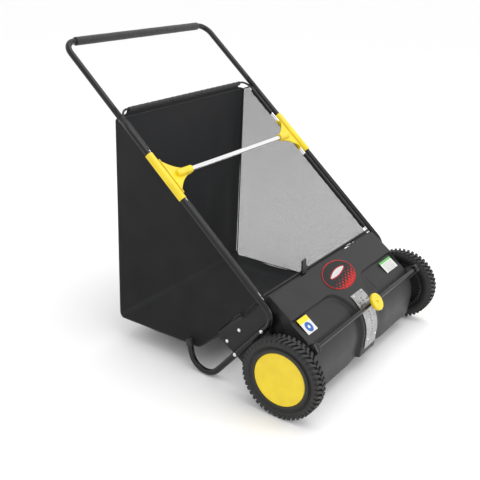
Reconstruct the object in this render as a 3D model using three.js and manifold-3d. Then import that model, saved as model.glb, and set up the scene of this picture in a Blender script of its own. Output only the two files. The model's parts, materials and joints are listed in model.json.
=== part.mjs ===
// Push lawn sweeper: two ground wheels drive a rotary brush under a sloped hood,
// which throws leaves back into a fabric bag hung between the handle tubes.
// Millimetres. +X across the machine (left wheel at -X), -Y to the front, +Z up, floor at Z = 0.
import * as THREE from 'three';
import { mergeVertices } from 'three/addons/utils/BufferGeometryUtils.js';
import ManifoldModule from 'manifold-3d';

const wasm = await ManifoldModule();
wasm.setup();

// The parts are laid out from the wheel axle and moved by ORIGIN_Y at the end, so that the
// origin is on the floor under the middle of the machine.

// ---------- driving dimensions ----------
const ORIGIN_Y = 389.9;
const WHEEL_R = 127;          // 10 inch ground wheel
const WHEEL_IN = 394.5;       // inner edge of the tyre
const WHEEL_OUT = 447;        // outer edge of the tyre
const LUG_HEIGHT = 5;
const LUG_COUNT = 20;
const TYRE_SEAT_R = 92.3;

const BRUSH_Y = 56;           // brush axis, also the pivot of the height yoke
const BRUSH_Z = 127;
const BRUSH_R = 118;
const BRUSH_HALF = 325;
const SHAFT_R = 8;

const GEAR_MODULE = 4;        // wheel ring gear 40 teeth, brush pinion 12 teeth
const RING_TEETH = 40;
const PINION_TEETH = 12;
const GEAR_X0 = 398.5;
const GEAR_X1 = 409.5;

const HOOD_HALF = 346;        // half width of the pressed hood
const BAND_R = 134.5;         // raised middle band of the nose, about the brush axis
const SKIN = 2.5;
const POCKET_DEPTH = 7;       // the two side panels are pressed in by this much
const HOOD_REAR = { y: 102, z: 326 };
const NOSE_LIP_Z = 52;

const TUBE_X = 378;           // handle side tubes
const TUBE_R = 10;
const TUBE_BORE = 8.5;
const HANDLE_TILT = THREE.MathUtils.degToRad(40.82);
const TUBE_Y0 = 118;          // point on the side tube where the straight run starts
const TUBE_Z0 = 320.8;
const JOINT_T = 706;          // where upper and lower handle tubes meet, along the tube
const CORNER_T = 1023.9;      // virtual corner of the U handle
const HANDLE_BEND = 45;

const BRACKET_X0 = 364.7;     // side bracket plate, inner and outer face
const BRACKET_X1 = 367.4;
const END_X0 = 346.3;         // housing end plate
const END_X1 = 349;

const TUBE_BOLTS = [[100.6, 226.5], [189.8, 116]];    // (Y, Z) of the bolts through the tube
const PLATE_BOLTS = [[191, 192], [233.5, 139.7]];     // and of those through both side plates
const BOLT_HOLE_R = 3.4;
const BUSHING_R = 15.7;       // shaft bushing, also the pivot of the yoke arms

const ARM_X0 = 357;           // yoke arm
const ARM_X1 = 361;
const BAR_R = 154;            // yoke bar, distance from the brush axis
const BAR_DEG = 142.6;        // and its angle there
const STRAP_R0 = 135.6;       // perforated strap, inner and outer radius
const STRAP_R1 = 137.6;
const STRAP_HALF = 39.5;
const SLOT_PITCH = 4.2;       // degrees between strap holes
const SLOT_FIRST = 130;
const SLOT_COUNT = 14;
const SCREW_DEG = [122.5, 187];   // strap screws, angle about the brush axis
const SCREW_X = 27;

const BAG_X = 362;            // inner face of the mesh side of the bag
const ROD_R = 3;
const ROD_X = 361;
const ROD_T = 735;            // rear bar of the bag frame, along the tube
const ROD_N = -3;
const CLIP_T0 = 380;
const CLIP_T1 = 557;
const BAR_T = 463.5;          // spreader bar, along the tube
const BAR_N = 9;

// ---------- materials ----------
const paint = (color, roughness, metalness) => new THREE.MeshStandardMaterial({ color, roughness, metalness });
const HOOD_BLACK = paint(0x2c2c2e, 0.42, 0.1);
const TUBE_BLACK = paint(0x161617, 0.35, 0.2);
const YELLOW = paint(0xf0cc1c, 0.4, 0.0);
const CHROME = paint(0xe8e8ea, 0.08, 1.0);
const ZINC = paint(0xb9bbbd, 0.3, 0.9);
const STEEL = paint(0x9a9c9f, 0.45, 0.9);
const FABRIC = paint(0x1d1d1f, 0.9, 0.0);
const MESH = paint(0x3a3a3c, 0.95, 0.0);
const FOAM = paint(0x2b2b2d, 0.95, 0.0);
const RUBBER = paint(0x232325, 0.85, 0.0);
const BLACK_PLASTIC = paint(0x1a1a1b, 0.6, 0.0);
const BRISTLE = paint(0x303236, 0.8, 0.0);
const LABEL_WHITE = paint(0xe9e9e6, 0.5, 0.0);
const BADGE = paint(0x8c1a20, 0.35, 0.0);

// ---------- geometry helpers ----------
const object = new THREE.Group();
object.name = 'lawn_sweeper';

function add(name, geometry, material) {
  const placed = geometry.clone();
  placed.translate(0, -ORIGIN_Y, 0);
  const mesh = new THREE.Mesh(placed, material);
  mesh.name = name;
  object.add(mesh);
}

// Shared vertices, with the empty triangles at lathe poles taken out.
function merged(geometry) {
  const bare = geometry.clone();
  bare.deleteAttribute('normal');
  bare.deleteAttribute('uv');
  const joined = mergeVertices(bare, 1e-4);
  const index = [];
  const old = joined.index.array;
  for (let i = 0; i < old.length; i += 3) {
    const [a, b, c] = [old[i], old[i + 1], old[i + 2]];
    if (a !== b && b !== c && a !== c) index.push(a, b, c);
  }
  joined.setIndex(index);
  return joined;
}

function toSolid(geometry) {
  const mesh = merged(geometry);
  return new wasm.Manifold(new wasm.Mesh({
    numProp: 3,
    vertProperties: new Float32Array(mesh.attributes.position.array),
    triVerts: new Uint32Array(mesh.index.array),
  }));
}

function fromSolid(solid) {
  const mesh = solid.getMesh();
  const geometry = new THREE.BufferGeometry();
  geometry.setAttribute('position', new THREE.BufferAttribute(new Float32Array(mesh.vertProperties), 3));
  geometry.setIndex(Array.from(mesh.triVerts));
  geometry.computeVertexNormals();
  return geometry;
}

const join = (...list) => fromSolid(list.map(toSolid).reduce((a, b) => a.add(b)));

function cut(base, ...tools) {
  return fromSolid(tools.map(toSolid).reduce((solid, tool) => solid.subtract(tool), toSolid(base)));
}

// Closed surface from rings of equal length, with both ends capped in the same way.
function loft(rings, cap = flatCap) {
  const count = rings[0].length;
  const points = rings.flat();
  const index = [];
  for (let i = 0; i < rings.length - 1; i++) {
    for (let j = 0; j < count; j++) {
      const a = i * count + j;
      const b = i * count + (j + 1) % count;
      index.push(a, a + count, b, b, a + count, b + count);
    }
  }
  const last = (rings.length - 1) * count;
  for (const [a, b, c] of cap(rings[0])) index.push(a, b, c, last + a, last + c, last + b);
  const geometry = new THREE.BufferGeometry();
  geometry.setAttribute('position', new THREE.Float32BufferAttribute(points.flatMap((p) => [p.x, p.y, p.z]), 3));
  geometry.setIndex(index);
  return outward(geometry);
}

const noCap = () => [];
const flatCap = (ring) => THREE.ShapeUtils.triangulateShape(flatten(ring), []);

// Cap of a folded sheet's end: its two rows of points are joined like the rungs of a ladder.
function ladderCap(ring) {
  const count = ring.length;
  const list = [];
  for (let j = 0; j < count / 2 - 1; j++) {
    const [a, b, c, d] = [j, j + 1, count - 2 - j, count - 1 - j];
    list.push([a, b, c], [a, c, d]);
  }
  return list;
}

// Flat coordinates of a ring that lies in a plane.
function flatten(ring) {
  const u = ring[1].clone().sub(ring[0]).normalize();
  let v = null;
  for (const p of ring) {
    const d = p.clone().sub(ring[0]);
    const rest = d.sub(u.clone().multiplyScalar(d.dot(u)));
    if (!v || rest.length() > v.length()) v = rest;
  }
  v.normalize();
  return ring.map((p) => new THREE.Vector2(p.clone().sub(ring[0]).dot(u), p.clone().sub(ring[0]).dot(v)));
}

function volume(geometry) {
  const p = geometry.attributes.position;
  const index = geometry.index;
  const a = new THREE.Vector3();
  const b = new THREE.Vector3();
  const c = new THREE.Vector3();
  let sum = 0;
  for (let i = 0; i < index.count; i += 3) {
    a.fromBufferAttribute(p, index.getX(i));
    b.fromBufferAttribute(p, index.getX(i + 1));
    c.fromBufferAttribute(p, index.getX(i + 2));
    sum += a.dot(b.cross(c));
  }
  return sum / 6;
}

function outward(geometry) {
  if (volume(geometry) < 0) {
    const index = Array.from(geometry.index.array);
    for (let i = 0; i < index.length; i += 3) [index[i], index[i + 1]] = [index[i + 1], index[i]];
    geometry.setIndex(index);
  }
  geometry.computeVertexNormals();
  return geometry;
}

// Flat (Y, Z) outline given thickness along X.
function slabX(outline, x0, x1, holes = []) {
  const shape = new THREE.Shape(outline.map(([y, z]) => new THREE.Vector2(y, z)));
  for (const [y, z, r, n = 24] of holes) {
    const hole = new THREE.Path();
    for (let i = 0; i < n; i++) {
      const a = -i * 2 * Math.PI / n;
      if (i === 0) hole.moveTo(y + r, z);
      else hole.lineTo(y + r * Math.cos(a), z + r * Math.sin(a));
    }
    hole.closePath();
    shape.holes.push(hole);
  }
  const geometry = new THREE.ExtrudeGeometry(shape, { depth: x1 - x0, bevelEnabled: false, steps: 1 });
  geometry.applyMatrix4(new THREE.Matrix4().set(0, 0, 1, x0, 1, 0, 0, 0, 0, 1, 0, 0, 0, 0, 0, 1));
  return geometry;
}

// Lathe about the X direction through (y, z); profile is [x, radius] pairs.
function turned(profile, y, z, segments) {
  const points = profile.map(([x, r]) => new THREE.Vector2(r, x));
  const geometry = new THREE.LatheGeometry(points, segments);
  geometry.applyMatrix4(new THREE.Matrix4().set(0, 1, 0, 0, 1, 0, 0, y, 0, 0, -1, z, 0, 0, 0, 1));
  return outward(merged(geometry));
}

const rodX = (x0, x1, y, z, r, n = 16) => turned([[x0, 0], [x0, r], [x1, r], [x1, 0]], y, z, n);
const ringX = (x0, x1, y, z, r0, r1, n = 24) => turned([[x0, r0], [x0, r1], [x1, r1], [x1, r0], [x0, r0]], y, z, n);

function box(x0, x1, y0, y1, z0, z1) {
  const geometry = new THREE.BoxGeometry(x1 - x0, y1 - y0, z1 - z0);
  geometry.translate((x0 + x1) / 2, (y0 + y1) / 2, (z0 + z1) / 2);
  return geometry;
}

function mirrored(geometry) {
  const copy = geometry.clone();
  copy.applyMatrix4(new THREE.Matrix4().makeScale(-1, 1, 1));
  return outward(merged(copy));
}

// Straight runs joined by round bends; returns points with the tangent at each.
function bentPath(corners, radii, step = 12) {
  const path = [];
  const push = (p, t) => path.push({ p: p.clone(), t: t.clone().normalize() });
  let dir = corners[1].clone().sub(corners[0]).normalize();
  push(corners[0], dir);
  for (let i = 1; i < corners.length - 1; i++) {
    const next = corners[i + 1].clone().sub(corners[i]).normalize();
    const turn = dir.angleTo(next);
    const back = radii[i - 1] * Math.tan(turn / 2);
    const axis = dir.clone().cross(next).normalize();
    const start = corners[i].clone().addScaledVector(dir, -back);
    const centre = start.clone().addScaledVector(axis.clone().cross(dir).normalize(), radii[i - 1]);
    const steps = Math.max(2, Math.ceil(THREE.MathUtils.radToDeg(turn) / step));
    for (let k = 0; k <= steps; k++) {
      const a = turn * k / steps;
      const p = start.clone().sub(centre).applyAxisAngle(axis, a).add(centre);
      push(p, dir.clone().applyAxisAngle(axis, a));
    }
    dir = next;
  }
  push(corners[corners.length - 1], dir);
  return path;
}

// Round tube or rod along a path that lies in one plane with the given normal.
function pipe(path, normal, outer, inner, sides = 14) {
  const ringAt = ({ p, t, r }, radius) => {
    const side = normal.clone().normalize();
    const up = side.clone().cross(t).normalize();
    const ring = [];
    for (let i = 0; i < sides; i++) {
      const a = 2 * Math.PI * i / sides;
      const size = radius === 'outer' ? (r ? r[0] : outer) : (r ? r[1] : inner);
      ring.push(p.clone().addScaledVector(side, size * Math.cos(a)).addScaledVector(up, size * Math.sin(a)));
    }
    return ring;
  };
  const out = path.map((s) => ringAt(s, 'outer'));
  if (!inner) return loft(out);
  const bore = path.map((s) => ringAt(s, 'inner')).reverse();
  return weld([...out, ...bore, out[0]]);
}

// Loft whose last ring is its first again.
function weld(rings) {
  return outward(merged(loft(rings, noCap)));
}

// Point in the frame of the sloping handle: x across, t up along the tube, n above its plane.
function onHandle(x, t, n) {
  const c = Math.cos(HANDLE_TILT);
  const s = Math.sin(HANDLE_TILT);
  return new THREE.Vector3(x, TUBE_Y0 + t * c - n * s, TUBE_Z0 + t * s + n * c);
}

function handleMatrix() {
  const c = Math.cos(HANDLE_TILT);
  const s = Math.sin(HANDLE_TILT);
  return new THREE.Matrix4().set(1, 0, 0, 0, 0, c, -s, TUBE_Y0, 0, s, c, TUBE_Z0, 0, 0, 0, 1);
}

// Round bar along the tube direction, in handle coordinates.
function alongHandle(x, n, t0, t1, r, segments = 20) {
  const geometry = new THREE.CylinderGeometry(r, r, t1 - t0, segments);
  geometry.translate(x, (t0 + t1) / 2, n);
  geometry.applyMatrix4(handleMatrix());
  return geometry;
}

// Point on a circle about the brush axis.
function around(r, degrees) {
  const a = THREE.MathUtils.degToRad(degrees);
  return [BRUSH_Y + r * Math.cos(a), BRUSH_Z + r * Math.sin(a)];
}

// Body placed radially about the brush axis: local +Z points outwards at that angle.
function radial(geometry, x, r, degrees) {
  const [y, z] = around(r, degrees);
  const copy = geometry.clone();
  copy.rotateX(THREE.MathUtils.degToRad(degrees - 90));
  copy.translate(x, y, z);
  return copy;
}

// ---------- hood and nose ----------
const TANGENT_DEG = 125.7;

// Side profile of the hood from the rear lip, down the slope, round the nose and down to the lip.
function noseProfile(samples) {
  const [ty, tz] = around(BAND_R, TANGENT_DEG);
  const slope = Math.hypot(HOOD_REAR.y - ty, HOOD_REAR.z - tz);
  const sweep = THREE.MathUtils.degToRad(188 - TANGENT_DEG) * BAND_R;
  const [by, bz] = around(BAND_R, 188);
  const low = { y: -72, z: NOSE_LIP_Z };
  const drop = Math.hypot(by - low.y, bz - low.z);
  return samples.map((s) => {
    if (s <= slope) {
      const k = s / slope;
      return { y: HOOD_REAR.y + (ty - HOOD_REAR.y) * k, z: HOOD_REAR.z + (tz - HOOD_REAR.z) * k, a: TANGENT_DEG };
    }
    if (s <= slope + sweep) {
      const a = TANGENT_DEG + THREE.MathUtils.radToDeg((s - slope) / BAND_R);
      const [y, z] = around(BAND_R, a);
      return { y, z, a };
    }
    const k = Math.min(1, (s - slope - sweep) / drop);
    const a = THREE.MathUtils.radToDeg(Math.atan2(low.y - by, bz - low.z)) + 180;
    return { y: by + (low.y - by) * k, z: bz + (low.z - bz) * k, a: k > 0 ? a : 188 };
  });
}

const SLOPE_LEN = 153.9;
const NOSE_LEN = SLOPE_LEN + THREE.MathUtils.degToRad(188 - TANGENT_DEG) * BAND_R;
const DROP_LEN = 56.6;
const CREASE_S = 92;          // where the pressed panels start, along the profile
const PANEL_END_S = 330;

// How far the skin is pressed in at a point of the profile.
function pressDepth(x, s) {
  const ax = Math.abs(x);
  const wall = 12;
  const rx = 70;
  const rs = 106;
  const inX = ax - 54;
  const inS = s - CREASE_S;
  let inside = Math.min(inX, inS);
  if (inX < rx && inS < rs) {
    const q = Math.hypot(1 - Math.max(inX, 0) / rx, 1 - Math.max(inS, 0) / rs);
    inside = Math.min(inside, (1 - q) * rx);
  }
  const t = Math.min(1, Math.max(0, inside / wall));
  return POCKET_DEPTH * t * t * (3 - 2 * t);
}

function hoodShell() {
  const half = [0, 54, 59, 65, 73, 83, 95, 108, 124, 230, HOOD_HALF];
  const xs = [...half.slice(1).reverse().map((x) => -x), ...half];
  const samples = [0, 60, 91, 95, 99, 104, 112, 122, 136, SLOPE_LEN, 168, 182, 197,
    214, 232, 250, 268, 284, NOSE_LEN, NOSE_LEN + DROP_LEN];
  const profile = noseProfile(samples);
  const outer = [];
  const inner = [];
  xs.forEach((x) => {
    const outRing = [];
    const inRing = [];
    profile.forEach((q, j) => {
      const a = THREE.MathUtils.degToRad(q.a);
      const d = pressDepth(x, samples[j]);
      outRing.push(new THREE.Vector3(x, q.y - d * Math.cos(a), q.z - d * Math.sin(a)));
      inRing.push(new THREE.Vector3(x, q.y - (d + SKIN) * Math.cos(a), q.z - (d + SKIN) * Math.sin(a)));
    });
    outer.push(outRing);
    inner.push(inRing);
  });
  const rings = outer.map((ring, i) => [...ring, ...inner[i].slice().reverse()]);
  return loft(rings, ladderCap);
}

function hood() {
  const holes = [];
  for (const x of [-SCREW_X, SCREW_X]) {
    for (const a of SCREW_DEG) holes.push(radial(new THREE.CylinderGeometry(2.7, 2.7, 16, 12).rotateX(Math.PI / 2), x, BAND_R, a));
  }
  return cut(hoodShell(), ...holes);
}

const boltHoles = (places) => places.map(([y, z]) => [y, z, BOLT_HOLE_R, 8]);

// Side wall of the brush housing; its front edge follows the pressed hood.
function endPlate() {
  const edge = noseProfile([0, 80, CREASE_S]).map((q) => [q.y, q.z]);
  const nose = [];
  for (const s of [104, 120, SLOPE_LEN, 175, 195, 215, 235, 255, 275, NOSE_LEN, NOSE_LEN + DROP_LEN]) {
    const q = noseProfile([s])[0];
    const a = THREE.MathUtils.degToRad(q.a);
    const d = pressDepth(HOOD_HALF, s);
    nose.push([q.y - d * Math.cos(a), q.z - d * Math.sin(a)]);
  }
  const rear = [[-40, 40], [100, 40], [172, 88], [203, 110], [246, 138], [250, 152], [192, 222], [112, 318]];
  return slabX([...edge, ...nose, ...rear], END_X0, END_X1, [[BRUSH_Y, BRUSH_Z, 16, 24], ...boltHoles(PLATE_BOLTS)]);
}

// Cranked side plate: front flange on the end plate, rear part stepped out beside the tube.
function bracket() {
  const front = slabX([[30, 70], [84, 70], [87, 96], [87, 262], [84, 280], [70, 280], [30, 200]], 349.3, 351.8,
    [[BRUSH_Y, BRUSH_Z, 16.2, 24]]);
  const step = slabX([[84.5, 96], [87, 96], [87, 262], [84.5, 262]], 349.3, BRACKET_X1);
  const rear = slabX([[84.5, 60], [140, 60], [175, 86.2], [206, 106.9], [262.6, 140.1], [269, 159.3], [197, 235.7],
    [186, 240], [173, 247], [129.4, 304.4], [118, 318], [108, 305], [84.5, 268]], BRACKET_X0, BRACKET_X1, boltHoles([...PLATE_BOLTS, ...TUBE_BOLTS]));
  const flange = slabX([[129.4, 304.4], [173, 247], [171, 245.5], [127.4, 302.9]], BRACKET_X1 - 1, 376);
  const hook = slabX([[173.8, 241.6], [189, 255.3], [187.3, 257.1], [172.1, 243.4]], BRACKET_X1 - 1, 375);
  return join(front, step, rear, flange, hook);
}

// ---------- handle tubes ----------
const X_AXIS = new THREE.Vector3(1, 0, 0);
function lowerTube() {
  const c1 = new THREE.Vector3(TUBE_X, 62.9, 273.2);
  const c2 = new THREE.Vector3(TUBE_X, 333, -61.4);
  const end = new THREE.Vector3(TUBE_X, 373.8, 102);
  const path = bentPath([onHandle(TUBE_X, JOINT_T, 0), c1, c2, end], [42, 60], 15);
  const tube = pipe(path, X_AXIS, TUBE_R, TUBE_BORE, 10);
  const holes = TUBE_BOLTS.map(([y, z]) => rodX(TUBE_X - 14, TUBE_X + 14, y, z, 3.3, 12));
  return cut(tube, ...holes);
}

function footCap() {
  const dir = new THREE.Vector3(0, 0.2419, 0.9703);
  const profile = [[0, 4.5], [9, 4.5], [11.8, 2], [11.8, -22], [10.4, -22], [10.4, 0.4], [0, 0.4]];
  const geometry = new THREE.LatheGeometry(profile.map(([r, h]) => new THREE.Vector2(r, h)), 16);
  geometry.applyQuaternion(new THREE.Quaternion().setFromUnitVectors(new THREE.Vector3(0, 1, 0), dir));
  geometry.translate(TUBE_X, 373.8, 102);
  return outward(merged(geometry));
}

function upperHandle() {
  const corners = [onHandle(-TUBE_X, JOINT_T - 50, 0), onHandle(-TUBE_X, CORNER_T, 0), onHandle(TUBE_X, CORNER_T, 0),
    onHandle(TUBE_X, JOINT_T - 50, 0)];
  const path = bentPath(corners, [HANDLE_BEND, HANDLE_BEND], 15);
  const neck = [7.9, 6.6];
  const full = [TUBE_R, TUBE_BORE];
  const shoulder = (x, t, size, dir) => ({ p: onHandle(x, t, 0), t: onHandle(0, dir, 0).sub(onHandle(0, 0, 0)), r: size });
  const stations = [
    { ...path[0], r: neck }, shoulder(-TUBE_X, JOINT_T + 0.3, neck, 1), shoulder(-TUBE_X, JOINT_T + 0.5, full, 1),
    ...path.slice(1, -1).map((q) => ({ ...q, r: full })),
    shoulder(TUBE_X, JOINT_T + 0.5, full, -1), shoulder(TUBE_X, JOINT_T + 0.3, neck, -1),
    { ...path[path.length - 1], r: neck },
  ];
  const normal = onHandle(0, 0, 1).sub(onHandle(0, 0, 0));
  return pipe(stations, normal, TUBE_R, TUBE_BORE, 10);
}

function foamGrip() {
  const { y, z } = onHandle(0, CORNER_T, 0);
  const [r0, r1] = [TUBE_R + 0.4, 14];
  return turned([[-326, r0], [-326, r1 - 2.5], [-323.5, r1], [323.5, r1], [326, r1 - 2.5], [326, r0], [-326, r0]], y, z, 24);
}

// ---------- yellow clips and spreader ----------
// Box in the handle's own directions: across, up along the tube, and above its plane.
function handleBox(x0, x1, t0, t1, n0, n1) {
  const geometry = box(x0, x1, t0, t1, n0, n1);
  geometry.applyMatrix4(handleMatrix());
  return geometry;
}

const CLIP_R = 13.4;
const WEB_TOP = 5.4;          // the web's upper face, above the tube's axis
const GROOVE_X0 = 356.6;      // the bag's rod lies in a groove between web and sleeve
const GROOVE_FLOOR = -6.4;
const CLIP_BOTTOM = -10.1;

// Moulded clip: an open sleeve on the tube, a flared web with a groove for the bag's rod,
// and a socket on the web for the end of the spreader bar.
function clipBracket() {
  const sleeve = alongHandle(TUBE_X, 0, CLIP_T0, CLIP_T1, CLIP_R, 28);
  const web = new THREE.Shape();
  web.moveTo(369.5, 394);
  web.lineTo(364, 394);
  web.quadraticCurveTo(322, 415, 300, BAR_T - 15);
  web.lineTo(280, BAR_T - 11);
  web.lineTo(280, BAR_T + 11);
  web.lineTo(300, BAR_T + 15);
  web.quadraticCurveTo(330, 505, 364, 543);
  web.lineTo(369.5, 543);
  web.closePath();
  const plate = new THREE.ExtrudeGeometry(web, { depth: WEB_TOP, bevelEnabled: false, curveSegments: 6 });
  plate.applyMatrix4(handleMatrix());
  const raised = cut(plate, handleBox(GROOVE_X0, 400, 380, 560, -1, 20));
  const step = handleBox(GROOVE_X0 - 3, GROOVE_X0, 400, 531, CLIP_BOTTOM, WEB_TOP - 1);
  const floor = handleBox(GROOVE_X0 - 3, 369.5, 396, 541, CLIP_BOTTOM, GROOVE_FLOOR);
  const { y, z } = onHandle(0, BAR_T, BAR_N);
  const socket = rodX(265.6, 330, y, z, 12.5, 24);
  const tubeBore = alongHandle(TUBE_X, 0, CLIP_T0 - 5, CLIP_T1 + 5, TUBE_R + 0.4, 28);
  const open = handleBox(372, 400, CLIP_T0 - 5, CLIP_T1 + 5, -25, -5);
  const barBore = rodX(255, 292, y, z, 8.4, 20);
  return cut(join(sleeve, raised, step, floor, socket), tubeBore, open, barBore);
}

function spreaderBar() {
  const { y, z } = onHandle(0, BAR_T, BAR_N);
  return ringX(-291, 291, y, z, 6.8, 8, 20);
}

// ---------- bag ----------
const BAG_EDGE = 361.6;
const BAG_SKIN = 1.6;

// Thin sheet of the given thickness on the inner side of a (Y, Z) line.
function sheetOutline(line, thickness) {
  const inner = line.map(([y, z], i) => {
    const [ay, az] = line[Math.max(0, i - 1)];
    const [by, bz] = line[Math.min(line.length - 1, i + 1)];
    const d1 = unit(y - ay, z - az) || unit(by - y, bz - z);
    const d2 = unit(by - y, bz - z) || d1;
    const n = unit(-(d1[1] + d2[1]), d1[0] + d2[0]);
    const k = thickness / Math.max(0.3, (n[0] * -d1[1] + n[1] * d1[0]));
    return [y + n[0] * k, z + n[1] * k];
  });
  return [...line, ...inner.reverse()];
}

function unit(a, b) {
  const length = Math.hypot(a, b);
  return length < 1e-9 ? null : [a / length, b / length];
}

function bagShell() {
  const rod = onHandle(0, ROD_T, ROD_N);
  const line = [[264, 146], [300, 115], [335, 86], [350, 77], [370, 76], [520, 73], [670, 78], [684, 83], [690, 96],
    [690, 400], [688, 775]];
  const body = slabX(sheetOutline(line, BAG_SKIN), -BAG_EDGE, BAG_EDGE);
  const upper = slabX(sheetOutline([[688, 773], [685, 790], [rod.y + 5, rod.z + 1]], BAG_SKIN), -314, 314);
  const hem = rodX(-314, 314, rod.y, rod.z, 6.2, 16);
  return cut(join(body, upper, hem), rodX(-320, 320, rod.y, rod.z, ROD_R + 0.4, 16));
}

function bagSide() {
  const top = onHandle(0, 716, -10.5);
  const bottom = onHandle(0, 34, -10.5);
  const outline = [[265.6, 147.2], [301, 116], [336, 87.6], [350.6, 78.8], [370, 77.6], [520, 74.8], [669.5, 79.8],
    [682.6, 84], [688, 96.4], [688, 400], [686.2, 772], [top.y, top.z], [bottom.y, bottom.z], [134, 312], [180, 252],
    [205, 239], [270, 164]];
  return slabX(outline, BAG_X, BAG_X + 1.2);
}

function frameRod() {
  const corners = [onHandle(-ROD_X, -4, ROD_N), onHandle(-ROD_X, ROD_T, ROD_N), onHandle(ROD_X, ROD_T, ROD_N),
    onHandle(ROD_X, -4, ROD_N)];
  const normal = onHandle(0, 0, 1).sub(onHandle(0, 0, 0));
  return pipe(bentPath(corners, [38, 38], 15), normal, ROD_R, 0, 10);
}

function rodSleeve(t0, t1) {
  const outside = alongHandle(ROD_X, ROD_N, t0, t1, 6, 16);
  return cut(outside, alongHandle(ROD_X, ROD_N, t0 - 2, t1 + 2, ROD_R + 0.4, 12));
}

const bagFrontRod = () => rodX(-357, 357, 121, 325, 4, 12);

function bagHookTab() {
  const tab = box(-6, 6, -2.2, 2.2, 0, 62);
  tab.rotateY(THREE.MathUtils.degToRad(-6));
  tab.translate(-131, 110.5, 312);
  return tab;
}

// ---------- strap, badge and labels ----------
function bandOutline(r0, r1, from, to, step, tail = []) {
  const outer = [];
  const inner = [];
  const n = Math.ceil((to - from) / step);
  for (let i = 0; i <= n; i++) {
    const a = from + (to - from) * i / n;
    outer.push(around(r1, a));
    inner.push(around(r0, a));
  }
  return [...outer, ...tail.map((q) => q.outer), ...tail.map((q) => q.inner).reverse(), ...inner.reverse()];
}

function strap() {
  const tail = [{ outer: [-79.5, 78], inner: [-77.5, 78] }];
  const band = slabX(bandOutline(STRAP_R0, STRAP_R1, 119.9, 188, 6, tail), -STRAP_HALF, STRAP_HALF);
  const cutter = new THREE.CylinderGeometry(2.8, 2.8, 12, 8).rotateX(Math.PI / 2);
  const holes = [];
  for (let i = 0; i < SLOT_COUNT; i++) holes.push(radial(cutter, 0, STRAP_R1, SLOT_FIRST + i * SLOT_PITCH));
  for (const x of [-SCREW_X, SCREW_X]) for (const a of SCREW_DEG) holes.push(radial(cutter, x, STRAP_R1, a));
  return cut(band, ...holes);
}

function strapScrew(x, degrees) {
  const profile = [[0, 3], [3, 2.7], [4.6, 0.3], [2.3, 0.3], [2.3, -7], [0, -7]];
  const geometry = new THREE.LatheGeometry(profile.map(([r, h]) => new THREE.Vector2(r, h)), 10);
  geometry.rotateX(Math.PI / 2);
  return outward(merged(radial(geometry, x, STRAP_R1 + 0.1, degrees)));
}

function badge() {
  const shape = new THREE.Shape();
  shape.absellipse(0, 0, 93, 52, 0, 2 * Math.PI);
  const geometry = new THREE.ExtrudeGeometry(shape, { depth: 1, bevelEnabled: false, curveSegments: 20 });
  const [ty, tz] = around(BAND_R, TANGENT_DEG);
  const slope = Math.atan2(HOOD_REAR.z - tz, HOOD_REAR.y - ty);
  geometry.rotateX(slope);
  const n = [-Math.sin(slope), Math.cos(slope)];
  geometry.translate(0, 53 + n[0] * 0.4, HOOD_REAR.z + (53 - HOOD_REAR.y) * Math.tan(slope) + n[1] * 0.4);
  return geometry;
}

function label(x0, x1, from, to) {
  const r = BAND_R - POCKET_DEPTH + 0.9;
  const lift = (degrees) => Math.max(0, BAND_R / Math.cos(THREE.MathUtils.degToRad(TANGENT_DEG - degrees)) - BAND_R);
  const outer = [];
  const inner = [];
  for (let i = 0; i <= 5; i++) {
    const a = from + (to - from) * i / 5;
    const rise = a < TANGENT_DEG ? lift(a) : 0;
    outer.push(around(r + rise + 0.5, a));
    inner.push(around(r + rise, a));
  }
  return slabX([...outer, ...inner.reverse()], x0, x1);
}

// ---------- bolts and bushing ----------
// Bolt through tube and bracket, with its nut on the inner side.
function tubeBolt(y, z) {
  const head = TUBE_X + TUBE_R + 0.3;
  const nut = BRACKET_X0 - 0.3;
  return turned([[nut - 4, 0], [nut - 4, 5.5], [nut, 5.5], [nut, 3], [head, 3], [head, 6.5], [head + 2.2, 5.4],
    [head + 3.6, 0]], y, z, 10);
}

// Through bolt with the distance sleeve that keeps the two side plates apart.
function spacerBolt(y, z) {
  return turned([[END_X0 - 4.3, 0], [END_X0 - 4.3, 5.5], [END_X0 - 0.3, 5.5], [END_X0 - 0.3, 3], [END_X1 + 0.3, 3],
    [END_X1 + 0.3, 6.5], [BRACKET_X0 - 0.3, 6.5], [BRACKET_X0 - 0.3, 3], [BRACKET_X1 + 0.3, 3], [BRACKET_X1 + 0.3, 6.5],
    [BRACKET_X1 + 2.5, 5.4], [BRACKET_X1 + 3.9, 0]], y, z, 10);
}

const bushing = () => ringX(343.5, ARM_X1 + 1, BRUSH_Y, BRUSH_Z, SHAFT_R + 0.1, BUSHING_R, 48);

// ---------- yoke, lock and wheels ----------
function hull(circles) {
  const points = [];
  for (const [y, z, r] of circles) {
    for (let i = 0; i < 16; i++) points.push([y + r * Math.cos(i * Math.PI / 8), z + r * Math.sin(i * Math.PI / 8)]);
  }
  points.sort((p, q) => p[0] - q[0] || p[1] - q[1]);
  const cross = (o, a, b) => (a[0] - o[0]) * (b[1] - o[1]) - (a[1] - o[1]) * (b[0] - o[0]);
  const half = (list) => {
    const chain = [];
    for (const p of list) {
      while (chain.length > 1 && cross(chain[chain.length - 2], chain[chain.length - 1], p) <= 1e-6) chain.pop();
      chain.push(p);
    }
    return chain.slice(0, -1);
  };
  return [...half(points), ...half(points.slice().reverse())];
}

const BAR_HALF_WIDTH = 9;
const BAR_LIP = 4;
const BAR_END = 370;

// Box given radially about the brush axis: along X, across the bar, and radial extent.
function radialBox(x0, x1, halfWidth, r0, r1, degrees) {
  const geometry = new THREE.BoxGeometry(x1 - x0, 2 * halfWidth, r1 - r0);
  geometry.translate((x0 + x1) / 2, 0, (r1 - r0) / 2);
  return radial(geometry, 0, r0, degrees);
}

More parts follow.
